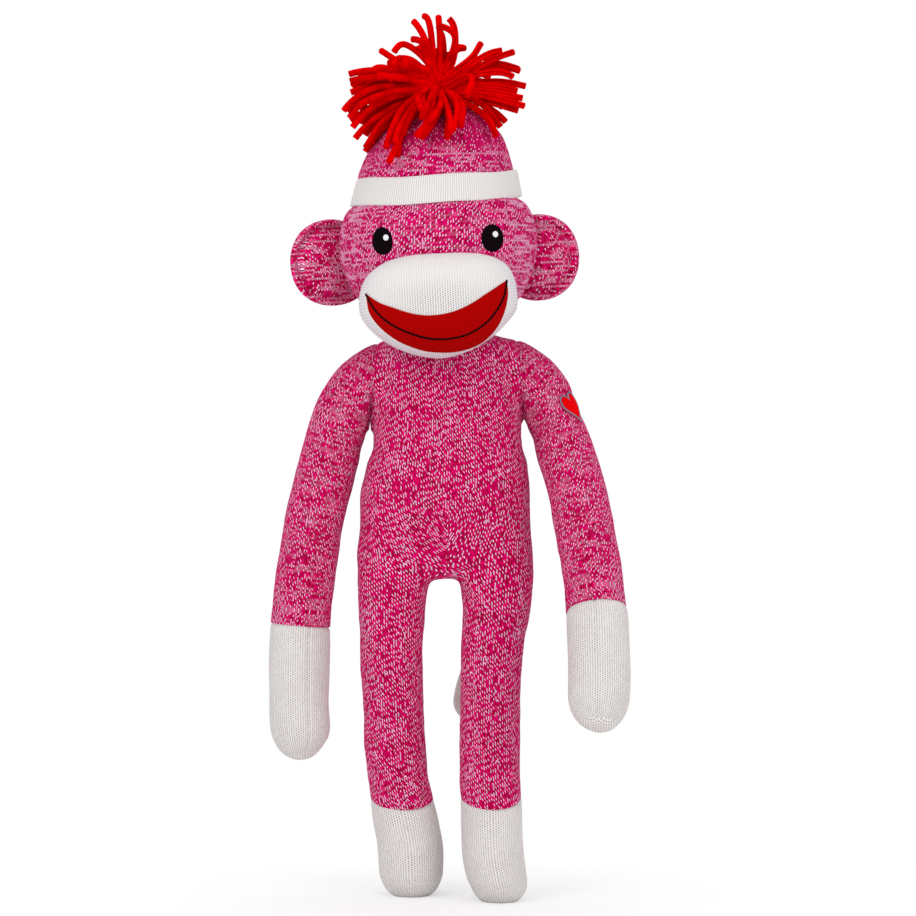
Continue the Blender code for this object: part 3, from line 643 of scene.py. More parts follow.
ARM_PLACES = np.array(ARM_LINE)
ARM_LENGTHS = distances_along(ARM_PLACES)
ARM_LENGTH = ARM_LENGTHS[-1]
WRIST_LENGTH = float(np.interp(-WRIST_Z, -ARM_PLACES[:, 1], ARM_LENGTHS))
print("arm length along its middle:", round(ARM_LENGTH, 1), "mm, wrist at", round(WRIST_LENGTH, 1), "mm")


def arm_reach(side):
    """The length of this side's arm."""
    return ARM_LENGTH - (LEFT_ARM_SHORTER if side == "left" else 0)


def arm_frame(lengths, side):
    """Centres, outward directions and half widths of an arm on the right at these lengths."""
    centre = glide(ARM_LENGTHS, ARM_PLACES, lengths)
    after, before = (glide(ARM_LENGTHS, ARM_PLACES, lengths + shift) for shift in (0.5, -0.5))
    ahead = unit(after - before)
    outward = np.column_stack([ahead[:, 1], -ahead[:, 0]])
    turn = step(lengths, 2, 24)[:, None]
    outward = unit(outward * turn + np.array([0.0, 1.0]) * (1 - turn))
    half = at_stations(ARM_HALF_WIDTHS, lengths)[:, 0]
    lift = step(lengths, 0, 8) * (1 - step(lengths, 14, 32))
    centre = centre + np.array([0.0, 1.0]) * (SHOULDER_LIFT[side] * lift)[:, None]
    if side == "left":
        middle = step(lengths, 16, 40) * (1 - step(lengths, 70, 120))
        half = half - LEFT_ARM_SLIMMER * middle
        centre = centre + outward * (LEFT_ARM_SLIMMER * middle)[:, None]
        half = half - LEFT_ARM_WAIST * step(lengths, 26, 34) * (1 - step(lengths, 40, 52))
    return centre, outward, half * rounded(arm_reach(side) - lengths, HAND_ROUND)


def arm_points(lengths, turns, side):
    """Rings of an arm on the right. A turn of 0 is the outer side and a quarter turn is the front."""
    centre, outward, half = arm_frame(lengths, side)
    full_centre = np.column_stack([centre[:, 0], np.full(len(lengths), BODY_Y), centre[:, 1]])
    full_side = np.column_stack([outward[:, 0], np.zeros(len(lengths)), outward[:, 1]])
    return cross_section(full_centre, full_side, FORWARD, half, np.minimum(half, ARM_HALF_DEPTH), turns)


def left_swing(x):
    """How far the left arm is swung forward at each distance from the middle."""
    return LEFT_ARM_SWING * step(x, SEAM_X + 1, SEAM_X + 22)


def swing_left(points):
    """Mirrors a right arm to the left side and swings it forward below its seam."""
    moved = np.array(points) * (-1, 1, 1)
    angle = left_swing(moved[..., 0])
    y, z = moved[..., 1] - BODY_Y, moved[..., 2] - SHOULDER_Z
    moved[..., 1] = BODY_Y + y * np.cos(angle) + z * np.sin(angle)
    moved[..., 2] = SHOULDER_Z + z * np.cos(angle) - y * np.sin(angle)
    return moved


def swing_back(points):
    """Undoes swing_left, to measure a left arm as if it were the right one."""
    angle = left_swing(points[:, 0])
    y, z = points[:, 1] - BODY_Y, points[:, 2] - SHOULDER_Z
    back_y = BODY_Y + y * np.cos(angle) - z * np.sin(angle)
    back_z = SHOULDER_Z + z * np.cos(angle) + y * np.sin(angle)
    return np.column_stack([-points[:, 0], back_y, back_z])


def arm_tube(side, lengths, turns):
    rings = arm_points(lengths, turns, side)
    return swing_left(rings) if side == "left" else rings


# %% [markdown]
# All these tubes are joined, remeshed into one skin and smoothed, so that shoulders, hips and crotch
# flow as cloth does. The skin is then parted again along its seams.

# %% The torso and leg tubes
TORSO_STATIONS = (
    # height, middle, half width, half depth
    (180, -0.5, 40.0, 14.0),
    (185, -0.6, 48.0, 19.0),
    (192, -1.0, 50.6, 22.5),
    (202, -1.0, 49.8, 26.0),
    (214, -0.8, 48.6, 30.0),
    (230, -0.5, 48.4, 35.0),
    (247, 0.3, 45.9, 35.5),
    (260, 0.8, 43.6, 34.0),
    (276, 0.6, 42.4, 31.5),
    (292, 0.4, 42.0, 29.0),
    (306, 0.4, 41.5, 26.5),
    (314, 1.0, 40.6, 24.0),
    (319, 1.8, 39.4, 22.0),
    (323, 2.2, 38.0, 20.0),
)
LEG_STATIONS = {
    # height, middle, half width, half depth, middle from front to back
    "right": (
        (0, -20.0, 11.0, 16.0, 19.0), (3, -20.0, 14.2, 20.0, 19.0), (7, -20.0, 16.4, 22.8, 19.0),
        (13, -20.2, 18.2, 24.4, 19.0), (27, -20.8, 18.9, 23.6, 19.0), (40, -23.0, 18.9, 21.6, 18.6),
        (54, -25.6, 18.0, 19.2, 18.2), (68, -28.1, 17.2, 17.8, 17.6), (89, -29.5, 17.7, 17.6, 17.0),
        (116, -30.6, 17.7, 17.9, 16.4), (144, -31.5, 18.3, 18.6, 15.9), (171, -31.0, 19.9, 19.8, 15.5),
        (196, -27.6, 22.0, 20.8, 15.2), (212, -23.6, 20.6, 19.4, 15.2),
    ),
    "left": (
        (0, 30.0, 11.0, 16.0, -5.0), (3, 30.0, 13.8, 20.0, -5.0), (7, 29.8, 15.8, 22.8, -5.0),
        (13, 28.6, 17.0, 24.4, -4.8), (27, 26.4, 17.5, 23.6, -4.4), (40, 25.7, 17.3, 21.6, -3.4),
        (54, 25.4, 17.2, 19.2, -1.8), (68, 24.9, 17.2, 17.8, 0.0), (89, 24.7, 17.3, 17.6, 2.6),
        (116, 25.2, 17.4, 17.9, 6.0), (144, 26.4, 18.0, 18.6, 9.4), (164, 28.4, 19.4, 19.6, 12.0),
        (178, 28.6, 21.2, 20.4, 13.6), (196, 26.6, 22.0, 20.8, 15.2), (212, 23.4, 20.6, 19.4, 15.2),
    ),
}
ANKLE_Z = {"right": 56.0, "left": 58.5}
ANKLE_SLOPE = 0.3
SKIN_VOXEL = 1.25
TORSO_POWER = 2.4
LEG_POWER = 2.1
SLEEVE_SPARE = 8
SMOOTHING_ROUNDS = 22
SMOOTHING_SHARE = 0.6
CROTCH_MEETING_Z = 188
TORSO_WALES = 190
LEG_WALES = 82


def upright_tube(stations, heights, power, round_bottom=0.0, round_top=0.0):
    """Rings of a standing tube at these heights."""
    values = at_stations(stations, heights)
    middle_y = values[:, 3] if values.shape[1] > 3 else np.full(len(heights), BODY_Y)
    centre = np.column_stack([values[:, 0], middle_y, heights])
    full = np.ones(len(heights))
    if round_bottom:
        full *= rounded(heights - heights.min(), round_bottom)
    if round_top:
        full *= rounded(heights.max() - heights, round_top)
    full = np.maximum(full, 0.02)
    turns = full_turn(TUBE_SIDES)
    return cross_section(centre, SIDEWAYS, FORWARD, values[:, 1] * full, values[:, 2] * full, turns, power)


def united_skin():
    """The torso, legs and sleeves as one skin, in millimetres."""
    torso_heights = np.linspace(180, 322, 90)
    leg_heights = np.linspace(40, 214, 110)
    arm_lengths = np.linspace(0, WRIST_LENGTH + SLEEVE_SPARE, 130)
    tubes = [upright_tube(TORSO_STATIONS, torso_heights, TORSO_POWER, round_bottom=7, round_top=8)]
    for side in SIDES:
        tubes.append(upright_tube(LEG_STATIONS[side], leg_heights, LEG_POWER, round_top=14))
        tubes.append(arm_tube(side, arm_lengths, full_turn(TUBE_SIDES)))
    work = bmesh.new()
    for rings in tubes:
        points, faces, _ = close_tube(rings, np.zeros(len(rings)), 1)
        work.from_mesh(mapped_mesh("tube", points, faces, {}))
    bmesh.ops.recalc_face_normals(work, faces=work.faces)
    mesh = bpy.data.meshes.new("united")
    work.to_mesh(mesh)
    work.free()
    holder = bpy.data.objects.new("united", mesh)
    bpy.context.scene.collection.objects.link(holder)
    remesh = holder.modifiers.new("remesh", "REMESH")
    remesh.mode = "VOXEL"
    remesh.voxel_size = SKIN_VOXEL
    skin = bpy.data.meshes.new_from_object(holder.evaluated_get(bpy.context.evaluated_depsgraph_get()))
    bpy.data.objects.remove(holder)
    return skin


def mesh_points(mesh):
    points = np.empty(len(mesh.vertices) * 3)
    mesh.vertices.foreach_get("co", points)
    return points.reshape(-1, 3)


def relaxed(mesh, rounds, strength):
    """The mesh's points, drawn towards their neighbours, most where strength is near 1."""
    points = mesh_points(mesh)
    count = len(points)
    edges = np.empty(len(mesh.edges) * 2, dtype=int)
    mesh.edges.foreach_get("vertices", edges)
    first, second = edges.reshape(-1, 2).T
    share = SMOOTHING_SHARE * strength(points)[:, None]
    neighbours = np.bincount(first, minlength=count) + np.bincount(second, minlength=count)
    for _ in range(rounds):
        total = np.zeros_like(points)
        for axis in range(3):
            total[:, axis] = (np.bincount(first, points[second, axis], count)
                              + np.bincount(second, points[first, axis], count))
        points += share * (total / neighbours[:, None] - points)
    return points


def where_tubes_meet(points):
    """High near the crotch and the shoulders, low elsewhere."""
    crotch = 1 - step(np.abs(points[:, 2] - CROTCH_MEETING_Z), 8, 30)
    shoulder = (1 - step(np.abs(np.abs(points[:, 0]) - SEAM_X), 5, 16)) * step(points[:, 2], 250, 264)
    return 0.25 + 0.75 * np.maximum(crotch, shoulder)


skin_mesh = united_skin()
skin_points = relaxed(skin_mesh, SMOOTHING_ROUNDS, where_tubes_meet)
print("skin points:", len(skin_points))

# %% [markdown]
# Cloth pulled between the legs folds into creases that fan out from the crotch, the sleeves pucker
# where they are sewn in, and stuffing leaves slow lumps. All are small moves along the surface normal.

# %% Creases, puckers and lumps
CREASES = (
    # where on the front it starts, its direction from upright in degrees, length, depth
    (-9, -62, 26, 1.3),
    (-6, -30, 22, 0.8),
    (8, 60, 26, 1.3),
    (6, 28, 20, 0.7),
    (-12, -85, 30, 1.1),
    (11, 84, 30, 1.1),
)
CROTCH_Z = 184.0
SEAM_LEAN = 0.085
SEAM_MIDDLE_Z = 290.0
SEAM_OUT = {"right": 41.7, "left": 42.5}
SEAM_BEND_Z = 258.0
ARMPIT_LEAN = 0.25


def crease_depth(points):
    """How far the fanning creases pull the skin in."""
    pull = np.zeros(len(points))
    for start, lean, length, depth in CREASES:
        direction = np.array([math.sin(math.radians(lean)), math.cos(math.radians(lean))])
        offset = points[:, [0, 2]] - (start, CROTCH_Z)
        along = offset @ direction
        across = offset @ np.array([direction[1], -direction[0]])
        fade = step(along, -4, 2) * (1 - step(along, length * 0.4, length))
        pull += depth * fade * np.exp(-(across / 1.7) ** 2)
    return pull


def seam_x(z, side):
    """How far out the shoulder seam is at each height. It leans out more under the arm."""
    above = SEAM_OUT[side] - SEAM_LEAN * (np.maximum(z, SEAM_BEND_Z) - SEAM_MIDDLE_Z)
    return above + ARMPIT_LEAN * np.maximum(SEAM_BEND_Z - z, 0)


def beyond_seam(points, side):
    """How far outside the shoulder seam each point is."""
    return SIDES[side] * points[:, 0] - seam_x(points[:, 2], side)


def pucker_depth(points):
    """The groove of each shoulder seam and the small folds that run into it."""
    pull = np.zeros(len(points))
    z = points[:, 2]
    sewn = step(z, 258, 264)
    for side in SIDES:
        away = beyond_seam(points, side)
        deep = 0.35 + 1.8 * (1 - step(z, 278, 302))
        pull += sewn * deep * np.exp(-(away / 1.5) ** 2)
        round_turn = np.arctan2(z - SEAM_MIDDLE_Z, points[:, 1] - BODY_Y)
        folds = np.sin(round_turn * 17 + 2.1 * np.sin(round_turn * 3))
        pull += sewn * 0.5 * folds * np.exp(-np.abs(away) / 4.5) * step(np.abs(away), 0, 1.5)
    return pull


def skin_normals(mesh, points):
    mesh.vertices.foreach_set("co", points.ravel())
    mesh.update()
    normals = np.empty(len(points) * 3)
    mesh.vertices.foreach_get("normal", normals)
    return normals.reshape(-1, 3)


normals = skin_normals(skin_mesh, skin_points)
skin_points -= normals * (crease_depth(skin_points) + pucker_depth(skin_points))[:, None]
unevenness = 0.75 * lumps(skin_points, 26.0, 3.0) + 0.35 * lumps(skin_points, 9.0, 8.0)
skin_points += normals * unevenness[:, None]
skin_normals(skin_mesh, skin_points)


# %% [markdown]
# The smooth skin is now parted where a maker would sew: both sleeves come off along the shoulder seams,
# and each seam is drawn in a little on both sides.

# %% Part the skin along its seams
def close_holes(work):
    """Closes every open loop of edges with one face."""
    open_edges = [edge for edge in work.edges if edge.is_boundary]
    if open_edges:
        bmesh.ops.edgeloop_fill(work, edges=open_edges)


def cut_open(mesh, point, normal):
    """Keeps what lies on the normal's side of a plane and closes the cut, in millimetres."""
    work = bmesh.new()
    work.from_mesh(mesh)
    geometry = work.verts[:] + work.edges[:] + work.faces[:]
    bmesh.ops.bisect_plane(work, geom=geometry, plane_co=point, plane_no=normal, clear_inner=True)
    close_holes(work)
    kept = bpy.data.meshes.new("cut")
    work.to_mesh(kept)
    work.free()
    return kept


GAP_LINE = ((150, 58.0), (185, 57.0), (207, 55.5), (220, 53.6), (233, 51.0), (243, 49.0))
SEAM_LOW_Z = 244.0


def cut_sleeves(mesh):
    """Cuts both sleeves off along their seams, and returns the trunk and a sleeve for each side."""
    work = bmesh.new()
    work.from_mesh(mesh)
    for side, sign in SIDES.items():
        spans = ((SEAM_BEND_Z - 3, 400, SEAM_LEAN), (SEAM_LOW_Z - 3, SEAM_BEND_Z + 3, ARMPIT_LEAN))
        for low, high, lean in spans:
            near = [face for face in work.faces
                    if low < face.calc_center_median().z < high and sign * face.calc_center_median().x > 30]
            edges = {edge for face in near for edge in face.edges}
            verts = {vert for face in near for vert in face.verts}
            point = (sign * float(seam_x(SEAM_BEND_Z, side)), 0, SEAM_BEND_Z)
            geometry = [*verts, *edges, *near]
            bmesh.ops.bisect_plane(work, geom=geometry, plane_co=point, plane_no=(sign, 0, lean))
    gap_z, gap_x = np.array(GAP_LINE).T
    sleeve_faces = {"right": [], "left": []}
    for face in work.faces:
        middle = face.calc_center_median()
        side = "left" if middle.x > 0 else "right"
        if middle.z > SEAM_LOW_Z:
            out = beyond_seam(np.array([middle[:]]), side)[0] > 0
        else:
            out = abs(middle.x) > np.interp(middle.z, gap_z, gap_x)
        if out:
            sleeve_faces[side].append(face.index)
    parts = {"trunk": set(sleeve_faces["right"]) | set(sleeve_faces["left"])}
    everything = set(range(len(work.faces)))
    for side in SIDES:
        parts[side] = everything - set(sleeve_faces[side])
    work.faces.index_update()
    cut_mesh = bpy.data.meshes.new("parted")
    work.to_mesh(cut_mesh)
    work.free()
    meshes = {}
    for name, left_out in parts.items():
        part = bmesh.new()
        part.from_mesh(cut_mesh)
        part.faces.ensure_lookup_table()
        bmesh.ops.delete(part, geom=[part.faces[index] for index in left_out], context="FACES")
        close_holes(part)
        meshes[name] = bpy.data.meshes.new(name)
        part.to_mesh(meshes[name])
        part.free()
    return meshes


skin_parts = cut_sleeves(skin_mesh)


def groove_seam(mesh, side, outward):
    """Draws one side of a shoulder seam in, and opens the armpit under it."""
    points = mesh_points(mesh)
    sign = SIDES[side]
    away = np.abs(beyond_seam(points, side))
    z = points[:, 2]
    near = (sign * points[:, 0] > 25) * step(z, 262, 268)
    depth = near * (0.3 + 3.7 * (1 - step(z, 270, 298))) * np.exp(-away / 2.0)
    inward = np.array([[0.0, BODY_Y, SEAM_MIDDLE_Z]]) - points
    inward[:, 0] = 0
    inward /= np.maximum(np.linalg.norm(inward, axis=1), 1.0)[:, None]
    points = points + inward * depth[:, None]
    opening = 2.0 * (1 - step(z, 256, 269)) * step(z, 246, 255) * np.exp(-away / 4)
    opening = opening * (sign * points[:, 0] > 25)
    points[:, 0] += sign * outward * opening
    mesh.vertices.foreach_set("co", points.ravel())
    mesh.update()


for side in SIDES:
    groove_seam(skin_parts[side], side, 1)
    groove_seam(skin_parts["trunk"], side, -1)


# %% [markdown]
# The knit of a sleeve runs on straight where the arm bends to its seam, because it is a straight tube
# sewn on at an angle. So its stitches are counted along a straighter line than the arm's middle.

# %% Lay stitch maps on the parted skins
def body_map(points, side):
    """Wales round, rows up and wales in one turn, for one half of the torso and its leg."""
    sign = SIDES[side]
    leg = at_stations(LEG_STATIONS[side], points[:, 2])
    trunk = at_stations(TORSO_STATIONS, points[:, 2])
    torso_turn = np.arctan2(sign * (points[:, 0] - trunk[:, 0]) / trunk[:, 1],
                            -(points[:, 1] - BODY_Y) / trunk[:, 2]) / math.pi
    torso_turn = np.where(torso_turn < -0.5, torso_turn + 2, torso_turn)
    wide, deep = trunk[:, 1] ** 2, trunk[:, 2] ** 2
    oval = (wide - deep) / (wide + deep) / 4
    torso_turn = torso_turn + oval * np.sin(2 * math.pi * torso_turn) / math.pi
    leg_turn = np.arctan2(-(points[:, 1] - leg[:, 3]) / leg[:, 2],
                          -sign * (points[:, 0] - leg[:, 0]) / leg[:, 1]) / (2 * math.pi)
    leg_turn = np.where(leg_turn < 0, leg_turn + 1, leg_turn)
    share = step(points[:, 2], 174, 222)
    half = TORSO_WALES / 2
    leg_wale = (half - LEG_WALES) / 2 + leg_turn * LEG_WALES
    around = half * share + LEG_WALES * (1 - share)
    return torso_turn * half * share + leg_wale * (1 - share), points[:, 2] / COURSE, around


KNIT_START = ((-31.0, 318.0), (-38.0, 307.0), (-45.5, 296.0), (-52.0, 286.0))
KNIT_JOINS = 3


def sleeve_map(points, side):
    """Wales round, rows down and wales in one turn, for a sleeve."""
    own = swing_back(points) if side == "left" else points
    lengths = np.linspace(0, WRIST_LENGTH + 10, 500)
    places = np.vstack([KNIT_START, ARM_PLACES[KNIT_JOINS:]])
    centre = glide(distances_along(places), places, lengths)
    ahead = np.gradient(centre, axis=0)
    outward = unit(np.column_stack([ahead[:, 1], -ahead[:, 0]]))
    nearest = np.empty(len(own), dtype=int)
    for start in range(0, len(own), 4000):
        part = own[start:start + 4000, None, :][:, :, [0, 2]]
        nearest[start:start + 4000] = np.argmin(((part - centre[None]) ** 2).sum(axis=2), axis=1)
    offset = own[:, [0, 2]] - centre[nearest]
    out = (offset * outward[nearest]).sum(axis=1)
    turn = np.arctan2(BODY_Y - own[:, 1], out) / (2 * math.pi)
    turn = np.where(turn < -0.25, turn + 1, turn) + 0.25
    ahead = np.column_stack([-outward[nearest][:, 1], outward[nearest][:, 0]])
    along = lengths[nearest] - (offset * ahead).sum(axis=1)
    return turn * ARM_WALES, -along / COURSE, np.full(len(points), float(ARM_WALES))


def lay_map(mesh, wales, rows, around, sign=1):
    """Writes the stitch map, keeping each face together where the count of wales starts again."""
    layer = mesh.uv_layers.new(name="stitches")
    loops = corner_points(mesh)
    places = np.column_stack([wales[loops], rows[loops]])
    for polygon in mesh.polygons:
        own = slice(polygon.loop_start, polygon.loop_start + polygon.loop_total)
        across = places[own, 0]
        turn = around[loops[own]]
        if across.max() - across.min() > turn[0] / 2:
            places[own, 0] = np.where(across < turn / 2, across + turn, across)
    places[:, 0] *= sign
    layer.data.foreach_set("uv", places.ravel())


def scaled_to_metres(mesh):
    mesh.transform(Matrix.Scale(MM, 4))
    return mesh


def ankle_middle(side):
    values = at_stations(LEG_STATIONS[side], ANKLE_Z[side])
    return values[0], values[3], ANKLE_Z[side]


def body_half(side):
    """The skin of one half of the torso with its leg, down to the ankle seam."""
    sign = SIDES[side]
    half = cut_open(skin_parts["trunk"], (0, 0, 0), (sign, 0, 0))
    half = cut_open(half, ankle_middle(side), (0, -ANKLE_SLOPE, 1))
    lay_map(half, *body_map(mesh_points(half), side), sign)
    return finish_piece(side + "_body_skin", scaled_to_metres(half), MARL_BODY)


# %% [markdown]
# A foot is the end of the sock in white knit: a round-cornered boot, flat underneath, sewn on at the
# ankle. A hand is the same, with a seam down its middle.

# %% Feet and hands
FOOT_WALES = 84
HAND_WALES = 78
WHITE_COURSE = 1.35
HAND_SEAM_TURN = {"right": math.radians(111), "left": math.radians(97)}
FOOT_POWER = 2.25
FOOT_TOP = 70
SOLE_TOP = 2.5
HAND_TIP = 5
SEAM_PINCH = 0.05
SEAM_HALF_WIDTH = 1.6


def flat_where(points, faces, corners, chosen):
    """Counts the stitches straight from below on the chosen faces, where a tube's wales would meet."""
    for number, face in enumerate(faces):
        if all(chosen[index] for index in face):
            corners[number] = [(points[index][0] / WALE, points[index][1] / WHITE_COURSE) for index in face]
    return corners


def foot(side):
    """The white foot of one side."""
    heights = FOOT_TOP * ends_close_together(76)
    rings = upright_tube(LEG_STATIONS[side], heights, FOOT_POWER)
    ankle = ankle_middle(side)
    points, faces, corners = close_tube(rings, heights / WHITE_COURSE, FOOT_WALES)
    corners = flat_where(points, faces, corners, points[:, 2] < SOLE_TOP)
    points = points + 0.5 * lumps(points, 18.0, 5.0)[:, None] * np.array([1, 1, 0])
    seam = points[:, 2] - ankle[2] - ANKLE_SLOPE * (points[:, 1] - ankle[1])
    middles = at_stations(LEG_STATIONS[side], points[:, 2])
    centre = np.column_stack([middles[:, 0], middles[:, 3], points[:, 2]])
    pinch = 1 - SEAM_PINCH * np.exp(-(seam / SEAM_HALF_WIDTH) ** 2)
    points = centre + (points - centre) * pinch[:, None]
    kept = cut_open(mapped_mesh("foot", points, faces, {"stitches": corners}), ankle, (0, ANKLE_SLOPE, -1))
    return finish_piece(side + "_foot_skin", scaled_to_metres(kept), WHITE)


def hand(side):
    """The white hand of one side, with its seam line."""
    lengths = WRIST_LENGTH - 6 + (arm_reach(side) - WRIST_LENGTH + 6) * ends_close_together(100)
    turns = full_turn(160)
    rings = arm_points(lengths, turns, side)
    centre = rings.mean(axis=1, keepdims=True)
    pinch = 1 - SEAM_PINCH * np.exp(-((lengths - WRIST_LENGTH) / SEAM_HALF_WIDTH) ** 2)
    seam = SEAM_PINCH * np.exp(-((turns - HAND_SEAM_TURN[side]) / 0.045) ** 2)
    rings = centre + (rings - centre) * (pinch[:, None] - seam[None, :])[:, :, None]
    if side == "left":
        rings = swing_left(rings)
    points, faces, corners = close_tube(rings, -lengths / WHITE_COURSE, HAND_WALES)
    near_tip = np.append(np.repeat(lengths > arm_reach(side) - HAND_TIP, len(turns)), (False, True))
    corners = flat_where(points, faces, corners, near_tip)
    middle = swing_left(centre)[:, 0] if side == "left" else centre[:, 0]
    outward = points[:-2].reshape(rings.shape) - middle[:, None, :]
    size = np.maximum(np.linalg.norm(outward, axis=2, keepdims=True), 1e-6)
    uneven = (0.8 * lumps(points[:-2], 20.0, 2.0)).reshape(rings.shape[:2])
    points[:-2] += (outward / size * uneven[:, :, None]).reshape(-1, 3)
    place, down = wrist_plane(side)
    kept = cut_open(mapped_mesh("hand", points, faces, {"stitches": corners}), place, down)
    return finish_piece(side + "_hand_skin", scaled_to_metres(kept), WHITE)


def wrist_plane(side):
    """A point on the wrist seam and the direction down the arm there."""
    lengths = np.array([WRIST_LENGTH - 1, WRIST_LENGTH + 1])
    middles = arm_tube(side, lengths, np.array([0.0, math.pi])).mean(axis=1)
    return middles.mean(axis=0), middles[1] - middles[0]


def sleeve(side):
    """One sleeve, from its shoulder seam to the wrist."""
    place, down = wrist_plane(side)
    mesh = cut_open(skin_parts[side], place, -down)
    lay_map(mesh, *sleeve_map(mesh_points(mesh), side))
    return finish_piece(side + "_arm_skin", scaled_to_metres(mesh), MARL_ARM)


# %% [markdown]
# Each half of the body and each sleeve keeps the place where it is made. The feet and hands are set on
# the bodies of their legs and arms.

# %% Make the limbs, and set the feet and hands on their bodies
ARMPIT_Z = 255.0


def bend_at_armpit(piece, side):
    """Bakes a piece's placement into its points. It works out the armpit seam, but the piece is not bent."""
    armpit_x = float(seam_x(ARMPIT_Z, side))
    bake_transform(piece)


for side, sign in SIDES.items():
    half = body_half(side)
    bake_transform(half)
    cover(half, "marl_knit", side + "_leg_cover", side + "_leg_stuffing", fill=0.8)
    if side == "right":
        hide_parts("torso_cover", "torso_stuffing")
    dress(foot(side), side + "_leg", "white_knit", side + "_foot_cover", fill=0.8)
    arm = sleeve(side)
    bend_at_armpit(arm, side)
    cover(arm, "marl_knit", side + "_arm_cover", side + "_arm_stuffing", fill=0.8)
    dress(hand(side), side + "_arm", "white_knit", side + "_hand_cover", fill=0.7)
    print(side, "half:", len(half.data.polygons), "faces, sleeve:", len(arm.data.polygons), "faces")

# %% [markdown]
# The head is a wide ball of the same marl knit, gathered below into the neck and hidden above by the
# hat. Rises are heights above the neck, measured with the head upright.

# %% The head
HEAD_STATIONS = (
    # rise, middle, half width, half depth
    (2.5, -1.5, 14.0, 14.0), (6, -1.5, 25.5, 23.5), (12, -1.7, 37.0, 33.5), (20, -1.9, 45.6, 41.0),
    (28, -2.0, 50.8, 45.5), (38, -2.0, 55.0, 49.4), (49, -2.0, 56.8, 51.0), (60, -1.9, 56.2, 50.2),
    (68, -1.8, 53.8, 47.4), (72, -1.8, 51.4, 45.0), (75, -1.8, 47.6, 41.6), (79, -1.8, 43.0, 38.4),
    (85, -1.8, 37.0, 34.0), (90, -1.8, 29.0, 27.0), (95, -1.8, 16.0, 16.0),
)
HEAD_LOW, HEAD_HIGH = 2.5, 95
HEAD_MIDDLE = np.array([-2.0, BODY_Y, NECK_Z + 49])
HEAD_WALES = 244
HEAD_POWER = 2.1


def front_of_head(x, rise):
    """How far forward the head's skin is, for a place seen from the front."""
    middle, half_width, half_depth = at_stations(HEAD_STATIONS, rise)
    share = min(abs(x - middle) / half_width, 0.999)
    return BODY_Y - half_depth * (1 - share ** HEAD_POWER) ** (1 / HEAD_POWER)


def head_skin():
    rises = HEAD_LOW + (HEAD_HIGH - HEAD_LOW) * ends_close_together(100)
    sizes = at_stations(HEAD_STATIONS, rises)
    centre = np.column_stack([sizes[:, 0], np.full(len(rises), BODY_Y), rises + NECK_Z])
    turns = full_turn(160, -math.pi / 2)
    rings = cross_section(centre, SIDEWAYS, FORWARD, sizes[:, 1], sizes[:, 2], turns, HEAD_POWER)
    lengths = running_total(np.hypot(np.diff(rises), np.diff(sizes[:, 1]) * 0.8))
    points, faces, corners = close_tube(rings, lengths / COURSE, HEAD_WALES)
    outward = unit(points - HEAD_MIDDLE)
    points = points + outward * (0.9 * lumps(points, 30.0, 4.0) + 0.3 * lumps(points, 9.0, 1.0))[:, None]
    return make_piece("head_skin", lean_head(points), faces, corners, MARL_HEAD)


dress(head_skin(), "head", "marl_knit", "head_cover", "head_stuffing", fill=0.9)


# %% [markdown]
# The neck is hidden from the front. It is a short gathered tube that joins the torso's top to the head.

# %% The neck
NECK_STATIONS = ((-10, 23.0), (-4, 18.5), (1, 17.0), (5, 17.5), (11, 22.0))
NECK_FOLDS = 18
NECK_FOLD_DEPTH = 0.04
NECK_WALES = 90


def neck_skin():
    rises = np.linspace(-10, 11, 30)
    turns = full_turn(90)
    size = at_stations(NECK_STATIONS, rises) * (1 + NECK_FOLD_DEPTH * np.cos(turns * NECK_FOLDS))[None, :]
    rings = np.stack([size * np.cos(turns), BODY_Y + size * np.sin(turns),
                      np.repeat((rises + NECK_Z)[:, None], len(turns), axis=1)], axis=2)
    points, faces, corners = close_tube(rings, rises / COURSE, NECK_WALES)
    return make_piece("neck_skin", points, faces, corners, MARL_BODY)


dress(neck_skin(), "neck", "marl_knit", "neck_plug", fill=0.7)

# %% [markdown]
# The muzzle is a white knitted cap, stuffed into an egg that is flatter on top and fuller below. It is
# made from the front: each point lies in some direction from the middle, some share of the way out.

# %% The muzzle
MUZZLE_MIDDLE = (-3.6, 16.0)
MUZZLE_HALF_WIDTH = 44.6
MUZZLE_UP = 28.4
MUZZLE_DOWN = 31.0
MUZZLE_Y = -22.8
MUZZLE_FORWARD = 38.0
MUZZLE_BACK = 30.0
MUZZLE_POWER = 2.15


def muzzle_reach(directions):
    """How far the muzzle's outline is from its middle, seen from the front."""
    across, up = np.cos(directions), np.sin(directions)
    upper = step(up, -0.35, 0.45)
    lower_power = 1.7 - 0.06 * across
    power = lower_power + (2.75 + 0.3 * across - lower_power) * upper
    height = MUZZLE_DOWN + (MUZZLE_UP - MUZZLE_DOWN) * upper
    total = (np.abs(across) / MUZZLE_HALF_WIDTH) ** power + (np.abs(up) / height) ** power
    return total ** (-1 / power)


def share_of_muzzle(x, rise):
    """How far out a place lies, from 0 in the middle of the muzzle to 1 at its outline."""
    across, up = x - MUZZLE_MIDDLE[0], rise - MUZZLE_MIDDLE[1]
    return math.hypot(across, up) / float(muzzle_reach(np.array([math.atan2(up, across)]))[0])


def front_of_muzzle(x, rise):
    """How far forward the muzzle's skin is, for a place seen from the front."""
    share = min(share_of_muzzle(x, rise), 0.999)
    return MUZZLE_Y - MUZZLE_FORWARD * (1 - share ** MUZZLE_POWER) ** (1 / MUZZLE_POWER)


MUZZLE_RIBS = 150


